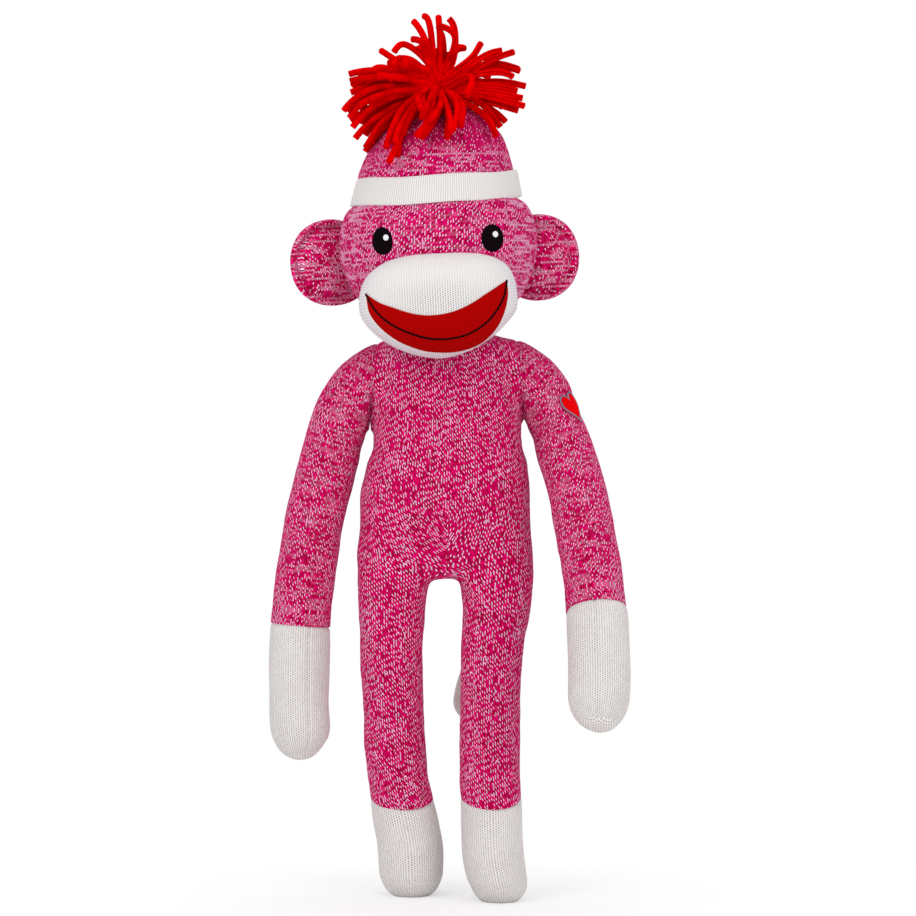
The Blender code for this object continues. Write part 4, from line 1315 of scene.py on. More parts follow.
def muzzle_skin():
    """Rings from the tip of the muzzle out to its outline and back into the head."""
    tilt = np.linspace(0.004, 1, 60) * math.pi / 2
    front_share = signed_power(np.sin(tilt), 2 / MUZZLE_POWER)
    front_depth = MUZZLE_Y - MUZZLE_FORWARD * signed_power(np.cos(tilt), 2 / MUZZLE_POWER)
    back_tilt = np.linspace(0, 1, 26)[1:] * math.pi / 2 * 0.94
    back_share = np.cos(back_tilt)
    back_depth = MUZZLE_Y + MUZZLE_BACK * np.sin(back_tilt)
    share = np.concatenate([front_share, back_share])
    depth = np.concatenate([front_depth, back_depth])
    directions = full_turn(180)
    reach = muzzle_reach(directions)
    x = MUZZLE_MIDDLE[0] + share[:, None] * (reach * np.cos(directions))[None, :]
    rise = MUZZLE_MIDDLE[1] + share[:, None] * (reach * np.sin(directions))[None, :]
    rings = np.stack([x, np.repeat(depth[:, None], len(directions), axis=1), rise + NECK_Z], axis=2)
    lengths = running_total(np.hypot(np.diff(share) * 40, np.diff(depth)))
    points, faces, rib_corners = close_tube(rings, lengths / COURSE, MUZZLE_RIBS)
    points = points + np.array([0, 1, 0]) * (0.7 * lumps(points, 22.0, 9.0))[:, None]
    front_corners = seen_from_front(points, faces, WALE, COURSE)
    # Each point notes whether it is on the hem and how much painted shade its pinholes get.
    marks = []
    for x, _, z in points:
        at_edge = float(step(share_of_muzzle(x, z - NECK_Z), 0.86, 0.97))
        marks.append((at_edge, hole_shade_strength(x, z - NECK_Z)))
    maps = {"ribs": rib_corners, "edge": [[marks[index] for index in face] for face in faces]}
    return make_piece("muzzle_skin", lean_head(points), faces, front_corners, muzzle_finish(), maps)


def hole_shade_strength(x, rise):
    """How much darker the pinholes are painted: most in the lower middle of the muzzle, as painted shade."""
    across, up = x - MUZZLE_MIDDLE[0], rise - 13
    return float(1 - step(math.hypot(across / 30, up / 16), 0.2, 1.3))


def muzzle_finish():
    """White knit with clear pinholes in front and ribs that run over the edge. The holes and the rib grooves
    are painted in shade, and the edge below the top is painted a lilac grey shade.
    """
    finish = Finish("muzzle_knit", Roughness=0.9, Specular_IOR_Level=0.03)
    across, up = finish.map_named("stitches")
    open_here = pinholes(finish, across, up)
    turn, outward = finish.map_named("ribs")
    rib = 1 - arch(turn.fract()) ** 0.6
    # The map's second value is how much darker the pinholes are painted: painted shade in the lower middle.
    edge, hole_shade = finish.map_named("edge")
    # The hem is the muzzle's edge below its top, where its lilac tint and rib grooves are painted shade.
    hem = edge * (1 - up.between(NECK_Z / COURSE + 22, NECK_Z / COURSE + 32))
    # Painted shade: the pinholes and the grooves between the ribs are darkened.
    dark = open_here * (1 - hem) * (0.3 + 0.5 * hole_shade) + rib * hem * 0.55
    # Painted shade: the yarn of the hem is a lilac grey.
    yarn = finish.mix(hem, paint(224, 222, 221), paint(222, 217, 222))
    hollow_shade = finish.mix(hem, paint(146, 134, 127), paint(176, 166, 174))
    return finish.wear(finish.mix(dark, yarn, hollow_shade), 1 - dark, depth=0.35)


dress(muzzle_skin(), "head", "white_knit", "muzzle_cover", "muzzle_stuffing", fill=0.9)

# %% [markdown]
# The mouth is a crescent of ribbed red knit sewn flat on the muzzle, with a black line stitched across
# it from corner to corner. Both follow the muzzle: their outline is drawn from the front, and each
# point is then set on the skin.

# %% The mouth panel
UPPER_LIP = (
    (-43.6, 22.6), (-36.5, 17.0), (-28.2, 13.2), (-19.5, 9.8), (-10.1, 7.9), (-1.0, 8.2), (8.3, 10.5),
    (15.4, 13.6), (21.9, 17.6), (29.0, 22.0), (35.2, 25.9),
)
LOWER_LIP = (
    (-43.6, 22.6), (-41.8, 11.0), (-38.2, 5.2), (-33.3, 0.0), (-27.0, -4.8), (-19.9, -8.4), (-12.0, -11.2),
    (-4.6, -12.3), (3.0, -12.5), (9.3, -11.6), (15.4, -9.8), (20.6, -7.2), (25.6, -3.2), (30.0, 2.3),
    (33.6, 10.0), (35.4, 18.0), (35.2, 25.9),
)
SMILE_LINE = (
    (-43.4, 22.0), (-39.0, 13.4), (-32.9, 6.6), (-26.6, 2.2), (-19.5, -1.3), (-12.6, -3.8), (-5.3, -5.2),
    (2.4, -5.2), (9.7, -3.9), (16.8, -1.0), (23.4, 3.6), (28.8, 9.6), (33.0, 17.0), (35.0, 25.2),
)


def along_line(places, shares):
    """Points on a smooth curve through places, at shares of its length."""
    places = np.array(places, dtype=float)
    lengths = distances_along(places)
    tangents = np.gradient(places, lengths, axis=0)
    at = np.asarray(shares, dtype=float) * lengths[-1]
    left = np.clip(np.searchsorted(lengths, at, side="right") - 1, 0, len(lengths) - 2)
    gap = (lengths[left + 1] - lengths[left])[:, None]
    t = ((at - lengths[left]) / gap[:, 0])[:, None]
    return curve_between(places, tangents, left, gap, t)


def patch_grid(top_edge, bottom_edge, columns, rows):
    """Places between two edges, as rows of (x, rise)."""
    shares = ends_close_together(columns)
    top, bottom = along_line(top_edge, shares), along_line(bottom_edge, shares)
    down = ends_close_together(rows)[:, None, None]
    return top[None] * (1 - down) + bottom[None] * down


def raised_patch(name, grid, front_of, thickness, sunk, finish, scale):
    """A thin closed patch that lies on a surface, with soft edges."""
    rows, columns = grid.shape[:2]
    edge_row = np.sin(np.linspace(0, 1, rows) * math.pi)[:, None]
    edge_column = np.sin(np.linspace(0, 1, columns) * math.pi)[None, :]
    soft = np.clip(np.minimum(edge_row * 5, edge_column * 12), 0, 1) ** 0.5
    level = np.array([[front_of(x, rise) for x, rise in line] for line in grid])
    skins = []
    for offset in (-thickness * soft, np.full_like(soft, sunk)):
        skins.append(np.stack([grid[..., 0], level + offset, grid[..., 1] + NECK_Z], axis=2).reshape(-1, 3))
    points = np.vstack(skins)
    faces, places = grid_faces(rows, columns, closed=False)
    back = rows * columns
    faces = faces + [tuple(index + back for index in reversed(face)) for face in faces]
    border = [(0, c) for c in range(columns)] + [(r, columns - 1) for r in range(1, rows)]
    border += [(rows - 1, c) for c in range(columns - 2, -1, -1)] + [(r, 0) for r in range(rows - 2, 0, -1)]
    rim = [r * columns + c for r, c in border]
    for here, after in zip(rim, rim[1:] + rim[:1]):
        faces.append((here, after, after + back, here + back))
    corners = seen_from_front(points, faces, scale, scale)
    return make_piece(name, lean_head(points), faces, corners, finish)


RIB_PITCH = 0.9
MOUTH_THICKNESS = 0.8
MOUTH_SUNK = 1.0
lips = patch_grid(UPPER_LIP, LOWER_LIP, 130, 30)
mouth = raised_patch("mouth_patch", lips, front_of_muzzle, MOUTH_THICKNESS, MOUTH_SUNK, RED_RIB, RIB_PITCH)
dress(mouth, "head", "red_knit", "mouth_panel")

# %% [markdown]
# A stitched line is one short thread repeated along a path. Geometry Nodes walk the path at the stitch
# length and set a small round thread on every step, turned to follow it.

# %% A node tree that sews along a path
THREAD_SHARE = 0.62
SMILE_PITCH = 2.5
SMILE_THREAD_RADIUS = 0.72
SMILE_PROUD = 0.85


def new_tree(name, *labels):
    """A Geometry Nodes tree with these numbers as inputs, and the identifiers of their sockets."""
    tree = bpy.data.node_groups.new(name, "GeometryNodeTree")
    tree.interface.new_socket("Geometry", in_out="INPUT", socket_type="NodeSocketGeometry")
    names = {}
    for label in labels:
        socket = tree.interface.new_socket(label, in_out="INPUT", socket_type="NodeSocketFloat")
        names[label] = socket.identifier
    tree.interface.new_socket("Geometry", in_out="OUTPUT", socket_type="NodeSocketGeometry")
    return tree, names


def give_out(tree, geometry):
    """Ends a tree: its geometry becomes real and smooth."""
    real = add_node(tree, "GeometryNodeRealizeInstances", None, {"Geometry": geometry})
    smooth = add_node(tree, "GeometryNodeSetShadeSmooth", None, {0: real.outputs[0]})
    add_node(tree, "NodeGroupOutput", None, {0: smooth.outputs[0]})


def sewing_tree():
    """Sets a short thread on every step of a path."""
    tree, names = new_tree("sewing", "Pitch", "Thread radius")
    given = add_node(tree, "NodeGroupInput").outputs
    walked = add_node(tree, "GeometryNodeResampleCurve", {"mode": "LENGTH"},
                      {"Curve": given["Geometry"], "Length": given["Pitch"]})
    ahead = add_node(tree, "GeometryNodeInputTangent")
    turn = add_node(tree, "FunctionNodeAlignEulerToVector", {"axis": "Z"}, {"Vector": ahead.outputs[0]})
    length = add_node(tree, "ShaderNodeMath", {"operation": "MULTIPLY"}, {0: given["Pitch"], 1: THREAD_SHARE})
    bead = add_node(tree, "GeometryNodeMeshUVSphere", None,
                    {"Segments": 8, "Rings": 8, "Radius": 1.0})
    size = add_node(tree, "ShaderNodeCombineXYZ", None,
                    {0: given["Thread radius"], 1: given["Thread radius"], 2: length.outputs[0]})
    placed = add_node(tree, "GeometryNodeInstanceOnPoints", None,
                      {"Points": walked.outputs[0], "Instance": bead.outputs[0],
                       "Rotation": turn.outputs[0], "Scale": size.outputs[0]})
    give_out(tree, placed.outputs[0])
    return tree, names


SEWING = sewing_tree()


def path_object(name, lines, closed=False):
    """A curve object with one spline for each line of points in millimetres."""
    curve = bpy.data.curves.new(name, "CURVE")
    curve.dimensions = "3D"
    for line in lines:
        spline = curve.splines.new("POLY")
        spline.points.add(len(line) - 1)
        for point, place in zip(spline.points, line):
            point.co = (*(np.asarray(place) * MM), 1.0)
        spline.use_cyclic_u = closed
    holder = bpy.data.objects.new(name, curve)
    bpy.context.scene.collection.objects.link(holder)
    return holder


def grown(name, holder, tree_and_names, values, finish):
    """Runs a node tree on a holder and keeps the result as a plain mesh with a stitch map."""
    tree, names = tree_and_names
    modifier = holder.modifiers.new(tree.name, "NODES")
    modifier.node_group = tree
    for label, value in values.items():
        modifier[names[label]] = value
    mesh = bpy.data.meshes.new_from_object(holder.evaluated_get(bpy.context.evaluated_depsgraph_get()))
    bpy.data.objects.remove(holder)
    mesh.name = name
    layer = mesh.uv_layers.new(name="stitches")
    places = mesh_points(mesh)[corner_points(mesh)][:, [0, 2]] / MM
    layer.data.foreach_set("uv", places.ravel())
    return finish_piece(name, mesh, finish)


def on_muzzle(places, out):
    """Places drawn from the front, set on the muzzle and a little proud of it."""
    points = [(x, front_of_muzzle(x, rise) - out, rise + NECK_Z) for x, rise in places]
    return lean_head(points)


smile_places = along_line(SMILE_LINE, np.linspace(0.004, 0.996, 120))
smile_path = path_object("smile_path", [on_muzzle(smile_places, SMILE_PROUD)])
smile = grown("smile_line", smile_path, SEWING,
              {"Pitch": SMILE_PITCH * MM, "Thread radius": SMILE_THREAD_RADIUS * MM}, BLACK_THREAD)
dress(smile, "head", "black_thread", "smile_stitching")
print("smile stitches:", len(smile.data.polygons), "faces")

# %% [markdown]
# Each eye is an upright oval filled with black satin stitch, with a small white stitch for the glint.
# Its edge is a little rough, because it is made of thread ends.

# %% The eyes
EYES = {"right": (-32.9, 52.1, 6.1, 7.9, 6), "left": (28.5, 50.5, 6.3, 7.8, -4)}
GLINTS = {"right": (-30.9, 53.8), "left": (30.3, 52.6)}
GLINT_RADIUS = 1.65
EYE_THICKNESS, EYE_ROUGHNESS = 0.9, 0.025
GLINT_THICKNESS, GLINT_ROUGHNESS = 1.6, 0.06


def oval_patch(name, middle, half_width, half_height, lean, thickness, roughness, finish, seed):
    """A round raised patch on the head, made of rings round its middle."""
    rng = random.Random(seed)
    turns = full_turn(72)
    rough = 1 + roughness * np.array([rng.uniform(-1, 1) for _ in turns])
    shares = np.array([0.05, 0.2, 0.4, 0.6, 0.78, 0.9, 0.97, 1.0, 1.0])
    lift = np.array([1, 1, 0.98, 0.94, 0.86, 0.74, 0.5, 0.15, -0.6])
    lean = math.radians(lean)
    rings = []
    for share, rise in zip(shares, lift):
        a = half_width * share * np.cos(turns) * (rough if share > 0.9 else 1)
        b = half_height * share * np.sin(turns) * (rough if share > 0.9 else 1)
        x = middle[0] + a * math.cos(lean) - b * math.sin(lean)
        z = middle[1] + a * math.sin(lean) + b * math.cos(lean)
        y = [front_of_head(one, other) - thickness * rise for one, other in zip(x, z)]
        rings.append(np.column_stack([x, y, z + NECK_Z]))
    points, faces, _ = close_tube(np.array(rings), np.zeros(len(rings)), 1)
    return make_piece(name, lean_head(points), faces, seen_from_front(points, faces), finish)


for number, (side, (x, rise, half_width, half_height, lean)) in enumerate(EYES.items()):
    eye = oval_patch(side + "_eye_patch", (x, rise), half_width, half_height, lean,
                     EYE_THICKNESS, EYE_ROUGHNESS, BLACK_THREAD, number)
    dress(eye, "head", "black_thread", side + "_eye")
    glint = oval_patch(side + "_glint_patch", GLINTS[side], GLINT_RADIUS, GLINT_RADIUS * 1.1, 0,
                       GLINT_THICKNESS, GLINT_ROUGHNESS, WHITE_THREAD, 10 + number)
    dress(glint, "head", "white_thread", side + "_eye_glint")

# %% [markdown]
# An ear is two discs of knit sewn edge to edge, turned out and lightly stuffed, with a line of sewing
# inside the rim. It is thickest in the middle and its inner edge is sewn into the side of the head.

# %% The ears
EARS = {"right": (-63.6, 44.4), "left": (54.6, 41.2)}
EAR_HALF_WIDTH = 24.6
EAR_HALF_HEIGHT = 24.8
EAR_HALF_THICKNESS = 8.0
EAR_RIM = 4.6


def ear_profile(share):
    """Half thickness of the ear from its middle (0) to its rim (1)."""
    out = share * EAR_HALF_WIDTH
    sewn = EAR_HALF_WIDTH - EAR_RIM
    pad = EAR_HALF_THICKNESS * rounded(np.maximum(sewn - out, 0.0), 15, 1.9)
    rim = 3.3 * rounded(np.maximum(EAR_HALF_WIDTH - out, 0.0), 3.4, 2.0)
    rim = rim * (1 - 0.6 * np.exp(-((out - sewn) / 1.3) ** 2))
    blend = step(out, sewn - 3.5, sewn)
    return np.maximum(pad, 2.0) * (1 - blend) + rim * blend


def ear_skin(side):
    sign = SIDES[side]
    middle = EARS[side]
    shares = np.sin(np.linspace(0.01, 1, 40) * math.pi / 2)
    turns = full_turn(110)
    layers = [(share, -1) for share in shares] + [(share, 1) for share in shares[::-1][1:]]
    rings = []
    for share, facing in layers:
        half = ear_profile(np.array([share]))[0]
        squash_in = 1 - 0.04 * np.cos(turns * 2)
        x = middle[0] + share * EAR_HALF_WIDTH * np.cos(turns) * squash_in
        z = middle[1] + share * EAR_HALF_HEIGHT * np.sin(turns)
        y = BODY_Y + 2 + facing * half * np.ones_like(turns)
        rings.append(np.column_stack([x, y, z + NECK_Z]))
    points, faces, _ = close_tube(np.array(rings), np.zeros(len(rings)), 1)
    away = sign * (points[:, 0] - middle[0])
    near_head = 1 - step(away, -6, 12)
    points[:, 1] += 5.0 * (1 - step(away, -14, 3)) - 3.0 * step(away, -5, 24)
    folds = 1.2 * np.sin(points[:, 2] * 0.62 + 1.3) * near_head
    points[:, 1] += folds + 0.6 * lumps(points, 12.0, 7.0 + sign)
    turned = np.column_stack([points[:, 0] + points[:, 1], points[:, 1], points[:, 2]])
    corners = seen_from_front(turned, faces, WALE, COURSE)
    return make_piece(side + "_ear_skin", lean_head(points), faces, corners, MARL_EAR)


for side in SIDES:
    dress(ear_skin(side), side + "_ear", "marl_knit", side + "_ear", fill=0.6)

# %% [markdown]
# The hat crown is a marl tube gathered to a point under the pompom, so folds fan out from its top.

# %% The hat crown
HAT_STATIONS = (
    # rise, middle, half width, half depth
    (80, -1.4, 43.0, 41.0), (86, -1.3, 44.4, 42.0), (91, -1.2, 44.4, 42.0), (98, -0.6, 42.6, 40.4),
    (104, 0.0, 40.2, 38.2), (112, 1.2, 35.6, 34.0), (119, 1.8, 29.6, 28.5), (125, 2.0, 22.0, 21.4),
    (130, 2.0, 13.0, 12.8), (133, 2.0, 5.0, 5.0),
)


HAT_LOW, HAT_HIGH = 80, 133
HAT_WALES = 200
HAT_FOLD_DEPTH = 0.05
FRONT_FOLD_TURN = math.radians(98)


def hat_skin():
    rises = np.linspace(HAT_LOW, HAT_HIGH, 90)
    sizes = at_stations(HAT_STATIONS, rises)
    turns = full_turn(240, -math.pi / 2)
    gather = step(rises, 104, 128)[:, None]
    folds = np.cos(turns * 15 + 1.2 * np.sin(turns * 2)) + 0.6 * np.cos(turns * 26 + 2)
    size = 1 + gather * HAT_FOLD_DEPTH * folds[None, :]
    front_fold = np.exp(-((turns - FRONT_FOLD_TURN) / 0.06) ** 2)[None, :]
    size = size - 0.2 * front_fold * step(rises, 102, 112)[:, None]
    centre = np.column_stack([sizes[:, 0], np.full(len(rises), BODY_Y), rises + NECK_Z])
    reach = np.stack([sizes[:, 1, None] * np.cos(turns)[None, :] * size,
                      -sizes[:, 2, None] * np.sin(turns)[None, :] * size,
                      np.zeros((len(rises), len(turns)))], axis=2)
    rings = centre[:, None, :] + reach
    lengths = running_total(np.hypot(np.diff(rises), np.diff(sizes[:, 1])))
    points, faces, corners = close_tube(rings, lengths / COURSE, HAT_WALES)
    outward = unit(points - np.array([0, BODY_Y, NECK_Z + 90]))
    points = points + outward * (0.8 * lumps(points, 20.0, 11.0))[:, None]
    return make_piece("hat_skin", lean_head(points), faces, corners, MARL_HAT)


dress(hat_skin(), "head", "marl_knit", "hat_crown", "hat_stuffing", fill=0.7)

# %% [markdown]
# The cuff is the hem of the hat, folded up on itself, so it stands a little proud with round edges and
# fine upright ribs. It sits lower in front than behind.

# %% The hat cuff
CUFF_LOW, CUFF_HIGH = 75.8, 91.6
CUFF_TILT = 0.09
CUFF_RIBS = 232


def cuff_skin():
    """A band: rings go round, and each ring's section is a rounded strip."""
    section = full_turn(40)
    height = (CUFF_LOW + CUFF_HIGH) / 2 + (CUFF_HIGH - CUFF_LOW) / 2 * signed_power(np.sin(section), 0.32)
    proud = 1.7 * signed_power(np.cos(section), 0.5)
    turns = full_turn(260, -math.pi / 2)
    share = (height - CUFF_LOW) / (CUFF_HIGH - CUFF_LOW)
    half_width = 47.9 - 3.6 * share + proud
    half_depth = 45.0 - 3.0 * share + proud
    middle = -2.0 + 1.4 * share
    x = middle[None, :] + half_width[None, :] * np.cos(turns)[:, None]
    y = BODY_Y - half_depth[None, :] * np.sin(turns)[:, None]
    wave = 0.35 * np.sin(turns * 5 + 1)[:, None]
    z = NECK_Z + height[None, :] + CUFF_TILT * (y - BODY_Y) + wave
    rings = np.stack([x, y, z], axis=2)
    around, count = rings.shape[:2]
    points = rings.reshape(-1, 3)
    faces = []
    corners = []
    for turn in range(around):
        for place in range(count):
            after_turn, after = (turn + 1) % around, (place + 1) % count
            faces.append((turn * count + place, after_turn * count + place,
                          after_turn * count + after, turn * count + after))
            low, high = turn / around * CUFF_RIBS, (turn + 1) / around * CUFF_RIBS
            first = height[place] / COURSE
            second = height[after] / COURSE
            corners.append(((low, first), (high, first), (high, second), (low, second)))
    return make_piece("cuff_band", lean_head(points), faces, corners, WHITE_CUFF)


dress(cuff_skin(), "head", "white_knit", "hat_cuff", fill=0.5)

# %% [markdown]
# The pompom is cut lengths of thick two-ply yarn, tied in the middle. The front bundles are laid one
# by one, since they make its outline. The low ones have a shorter twin behind them, and the rest fan
# out at the back. Each strand is a path. Geometry Nodes run a round section along it and store how far
# along and around each point is, so that the finish can wind its plies.

# %% The strands of the pompom
HUB = (2.0, 2.0, 139.0)
FRONT_STRANDS = (
    # bend (x, rise), tip (x, rise), how far back the tip lies
    ((-3, 165), (-9, 178), 5), ((0, 171), (-3, 183), 15), ((14, 162), (10, 179), 10),
    ((13, 164), (4, 175), 0), ((5, 166), (5, 183), 25), ((-4, 161), (-10, 167), -8), ((7, 163), (5, 176), 30),
    ((-11, 163), (-22, 161), 0), ((-18, 155), (-28, 164), 20), ((-14, 156), (-22, 151), -12),
    ((-25, 152), (-35, 150), 10), ((-11, 153), (-16, 151), -20),
    ((-22, 151), (-47, 149), 0), ((-22, 147), (-47, 144), -6), ((-21, 144), (-47, 141), 8),
    ((-25, 150), (-46, 145), 22), ((-19, 145), (-30, 145), -20),
    ((-31, 141), (-51, 129), -6), ((-30, 137), (-49, 125), -2), ((-27, 134), (-47, 120), 2),
    ((-26, 129), (-46, 113), 4), ((-24, 125), (-41, 108), -4), ((-22, 128), (-38, 108), 8),
    ((-24, 137), (-48, 124), 12), ((-19, 138), (-42, 131), -14),
    ((-16, 129), (-28, 105), -26), ((-13, 123), (-27, 96), -30), ((-15, 125), (-22, 107), -28),
    ((3, 129), (-10, 109), -36), ((-7, 134), (-8, 124), -34), ((-1, 134), (-7, 119), -34),
    ((7, 127), (8, 110), -34), ((12, 129), (10, 112), -32), ((14, 130), (15, 114), -30),
    ((21, 143), (18, 131), -30), ((-1, 129), (-6, 114), -32),
    ((22, 131), (37, 115), -8), ((24, 125), (34, 109), -14),
    ((30, 141), (52, 138), 0), ((26, 139), (48, 134), -6), ((28, 135), (50, 130), -10),
    ((27, 133), (50, 125), -14), ((24, 131), (47, 124), -4), ((25, 139), (45, 130), 12),
    ((19, 154), (29, 164), 10), ((25, 153), (40, 159), 0), ((30, 151), (46, 157), -6),
    ((27, 151), (50, 148), 4), ((28, 146), (45, 142), -8), ((25, 150), (49, 148), 16),
)
BACK_STRANDS = 34
YARN_RADIUS = 1.9
YARN_STEP = 0.9
YARN_SIDES = 14


def off_the_hat(point):
    """Moves a strand's point out of the hat, straight away from its axis."""
    x, y, rise = point
    if rise > 134:
        return point
    middle, half_width, half_depth = at_stations(HAT_STATIONS, rise)
    room = YARN_RADIUS + 0.6
    across, forward = (x - middle) / (half_width + room), (y - BODY_Y) / (half_depth + room)
    share = math.hypot(across, forward)
    if share >= 1 or share == 0:
        return point
    return np.array([middle + (x - middle) / share, BODY_Y + (y - BODY_Y) / share, rise])


def strand_path(bend, tip, rng):
    """A smooth line from the hub over its bend to its tip."""
    hub = np.array(HUB) + [rng.uniform(-3, 3), rng.uniform(-4, 4), rng.uniform(-3, 3)]
    bend, tip = np.array(bend, dtype=float), np.array(tip, dtype=float)
    line = []
    wiggle = [rng.uniform(-0.8, 0.8) for _ in range(3)]
    for t in np.linspace(0, 1, 26):
        control = 2 * bend - (hub + tip) / 2
        point = hub * (1 - t) ** 2 + control * 2 * t * (1 - t) + tip * t ** 2
        point = point + np.array(wiggle) * math.sin(t * math.pi * 2.5)
        point = off_the_hat(point)
        line.append((point[0], point[1], point[2] + NECK_Z))
    return lean_head(line)


def pompom_paths():
    rng = random.Random(21)
    lines = []
    for bend, tip, back in FRONT_STRANDS:
        bend_y = (HUB[1] + back) / 2 + rng.uniform(-2, 2)
        lines.append(strand_path((bend[0], bend_y, bend[1]), (tip[0], back, tip[1]), rng))
        if tip[0] > 12 or tip[1] > 150:
            continue
        aside = np.array([rng.uniform(-1.5, 1.5), 6.0, rng.uniform(-3.5, 2.0)])
        twin_bend = np.array([bend[0], bend_y, bend[1]]) + aside
        twin_tip = np.array(HUB) + (np.array([tip[0], back, tip[1]]) - HUB) * rng.uniform(0.82, 0.97) + aside
        lines.append(strand_path(twin_bend, twin_tip, rng))
    for number in range(BACK_STRANDS):
        turn = math.pi * (0.04 + 0.92 * (number + rng.uniform(0.2, 0.8)) / BACK_STRANDS)
        lift = rng.uniform(-0.75, 1.0)
        reach = rng.uniform(36, 46)
        tip = (2 + reach * math.cos(turn) * math.cos(lift), 8 + reach * math.sin(turn) * math.cos(lift),
               139 + reach * math.sin(lift) * 0.85 - 3)
        bend = tuple(hub + (end - hub) * 0.55 for hub, end in zip(HUB, tip))
        bend = (bend[0], bend[1], bend[2] + rng.uniform(3, 8))
        lines.append(strand_path(bend, tip, rng))
    return lines


# %% [markdown]
# The yarn tree walks each path, notes how far along it is, picks a tone for the strand and runs a round
# section along the whole path.

# %% A node tree that turns paths into yarn
def yarn_tree():
    """Turns every path into a strand of two-ply yarn."""
    tree, names = new_tree("plied yarn", "Radius")
    given = add_node(tree, "NodeGroupInput").outputs
    walked = add_node(tree, "GeometryNodeResampleCurve", {"mode": "LENGTH"},
                      {"Curve": given["Geometry"], "Length": YARN_STEP * MM})
    reach = add_node(tree, "GeometryNodeSplineParameter")
    length = add_node(tree, "ShaderNodeMath", {"operation": "MULTIPLY"},
                      {0: reach.outputs["Length"], 1: 1 / MM})
    marked = add_node(tree, "GeometryNodeStoreNamedAttribute", {"data_type": "FLOAT", "domain": "POINT"},
                      {"Geometry": walked.outputs[0], "Name": "along", "Value": length.outputs[0]})
    number = add_node(tree, "GeometryNodeInputIndex")
    pick = add_node(tree, "FunctionNodeRandomValue", {"data_type": "FLOAT"},
                    {"ID": number.outputs[0], "Seed": 4})
    toned = add_node(tree, "GeometryNodeStoreNamedAttribute", {"data_type": "FLOAT", "domain": "CURVE"},
                     {"Geometry": marked.outputs[0], "Name": "strand", "Value": pick.outputs[1]})
    ring = add_node(tree, "GeometryNodeCurvePrimitiveCircle", None,
                    {"Resolution": YARN_SIDES, "Radius": given["Radius"]})
    share = add_node(tree, "GeometryNodeSplineParameter")
    ring_marked = add_node(tree, "GeometryNodeStoreNamedAttribute", {"data_type": "FLOAT", "domain": "POINT"},
                           {"Geometry": ring.outputs[0], "Name": "around", "Value": share.outputs["Factor"]})
    tube = add_node(tree, "GeometryNodeCurveToMesh", None,
                    {"Curve": toned.outputs[0], "Profile Curve": ring_marked.outputs[0], "Fill Caps": True})
    give_out(tree, tube.outputs[0])
    return tree, names


strands = path_object("strand_paths", pompom_paths())
pompom = grown("pompom_yarn", strands, yarn_tree(), {"Radius": YARN_RADIUS * MM}, RED_YARN)
dress(pompom, "head", "red_yarn", "pompom", "pompom_tie")
print("pompom:", len(pompom.data.polygons), "faces")

# %% [markdown]
# The small heart is red satin stitch with a slate blue border, on the outer front of the left upper
# arm. It is drawn flat and laid round the sleeve: up and down follow the arm, and across goes round it.

# %% The heart on the left arm
HEART_LENGTH_DOWN = 40.3
HEART_TURN = math.radians(48)
HEART_SIZE = 8.4
HEART_NARROW = 0.8
HEART_LEAN = math.radians(12)
HEART_THICKNESS = 0.9
BORDER_AROUND = 0.7
BORDER_PROUD = 0.9
BORDER_PITCH = 1.1
BORDER_THREAD_RADIUS = 0.45


def heart_outline(size, count=90):
    """A round-lobed heart, point down."""
    t = full_turn(count)
    x = 16 * np.sin(t) ** 3
    y = 13 * np.cos(t) - 5 * np.cos(2 * t) - 2 * np.cos(3 * t) - np.cos(4 * t)
    return np.column_stack([x * HEART_NARROW, y + 2.5]) * size / 16


def on_sleeve(flat, out):
    """Flat places laid on the left sleeve, a little proud of it."""
    leaned = flat @ np.array([[math.cos(HEART_LEAN), math.sin(HEART_LEAN)],
                              [-math.sin(HEART_LEAN), math.cos(HEART_LEAN)]])
    points = []
    for across, up in leaned:
        length = np.array([HEART_LENGTH_DOWN - up])
        turn = np.array([HEART_TURN - across / 18.0])
        ring = arm_points(length, turn, "left")[0, 0]
        centre = arm_points(length, np.array([0.0, math.pi]), "left").mean(axis=1)[0]
        outward = (ring - centre) / np.linalg.norm(ring - centre)
        points.append(ring + outward * out)
    return swing_left(np.array(points))


def heart_patch(name, size, thickness, finish):
    outline = heart_outline(size)
    shares = (0.04, 0.3, 0.6, 0.85, 0.96, 1.0, 1.0)
    lifts = (1.0, 1.0, 0.95, 0.85, 0.6, 0.2, -1.2)
    rings = np.array([on_sleeve(outline * share, 0.6 + thickness * lift)
                      for share, lift in zip(shares, lifts)])
    points, faces, _ = close_tube(rings, np.zeros(len(rings)), 1)
    return make_piece(name, points, faces, seen_from_front(points * (1.3, 1, 1), faces), finish)


def sew_on_sleeve(piece, slot, solid):
    """Bakes a heart piece's placement and hides the solid that it stands for."""
    bend_at_armpit(piece, "left")
    cover(piece, slot, solid)


heart = heart_patch("heart_patch", HEART_SIZE, HEART_THICKNESS, HEART_THREAD)
sew_on_sleeve(heart, "heart_red", "heart")
border_line = on_sleeve(heart_outline(HEART_SIZE + BORDER_AROUND, 70), BORDER_PROUD)
border_path = path_object("border_path", [border_line], closed=True)
border = grown("heart_edge", border_path, SEWING,
               {"Pitch": BORDER_PITCH * MM, "Thread radius": BORDER_THREAD_RADIUS * MM}, SLATE_THREAD)
sew_on_sleeve(border, "slate_thread", "heart_border")

# %% [markdown]
# The tail is a thin stuffed tube that hangs from the back, behind the left leg, with a white tip.

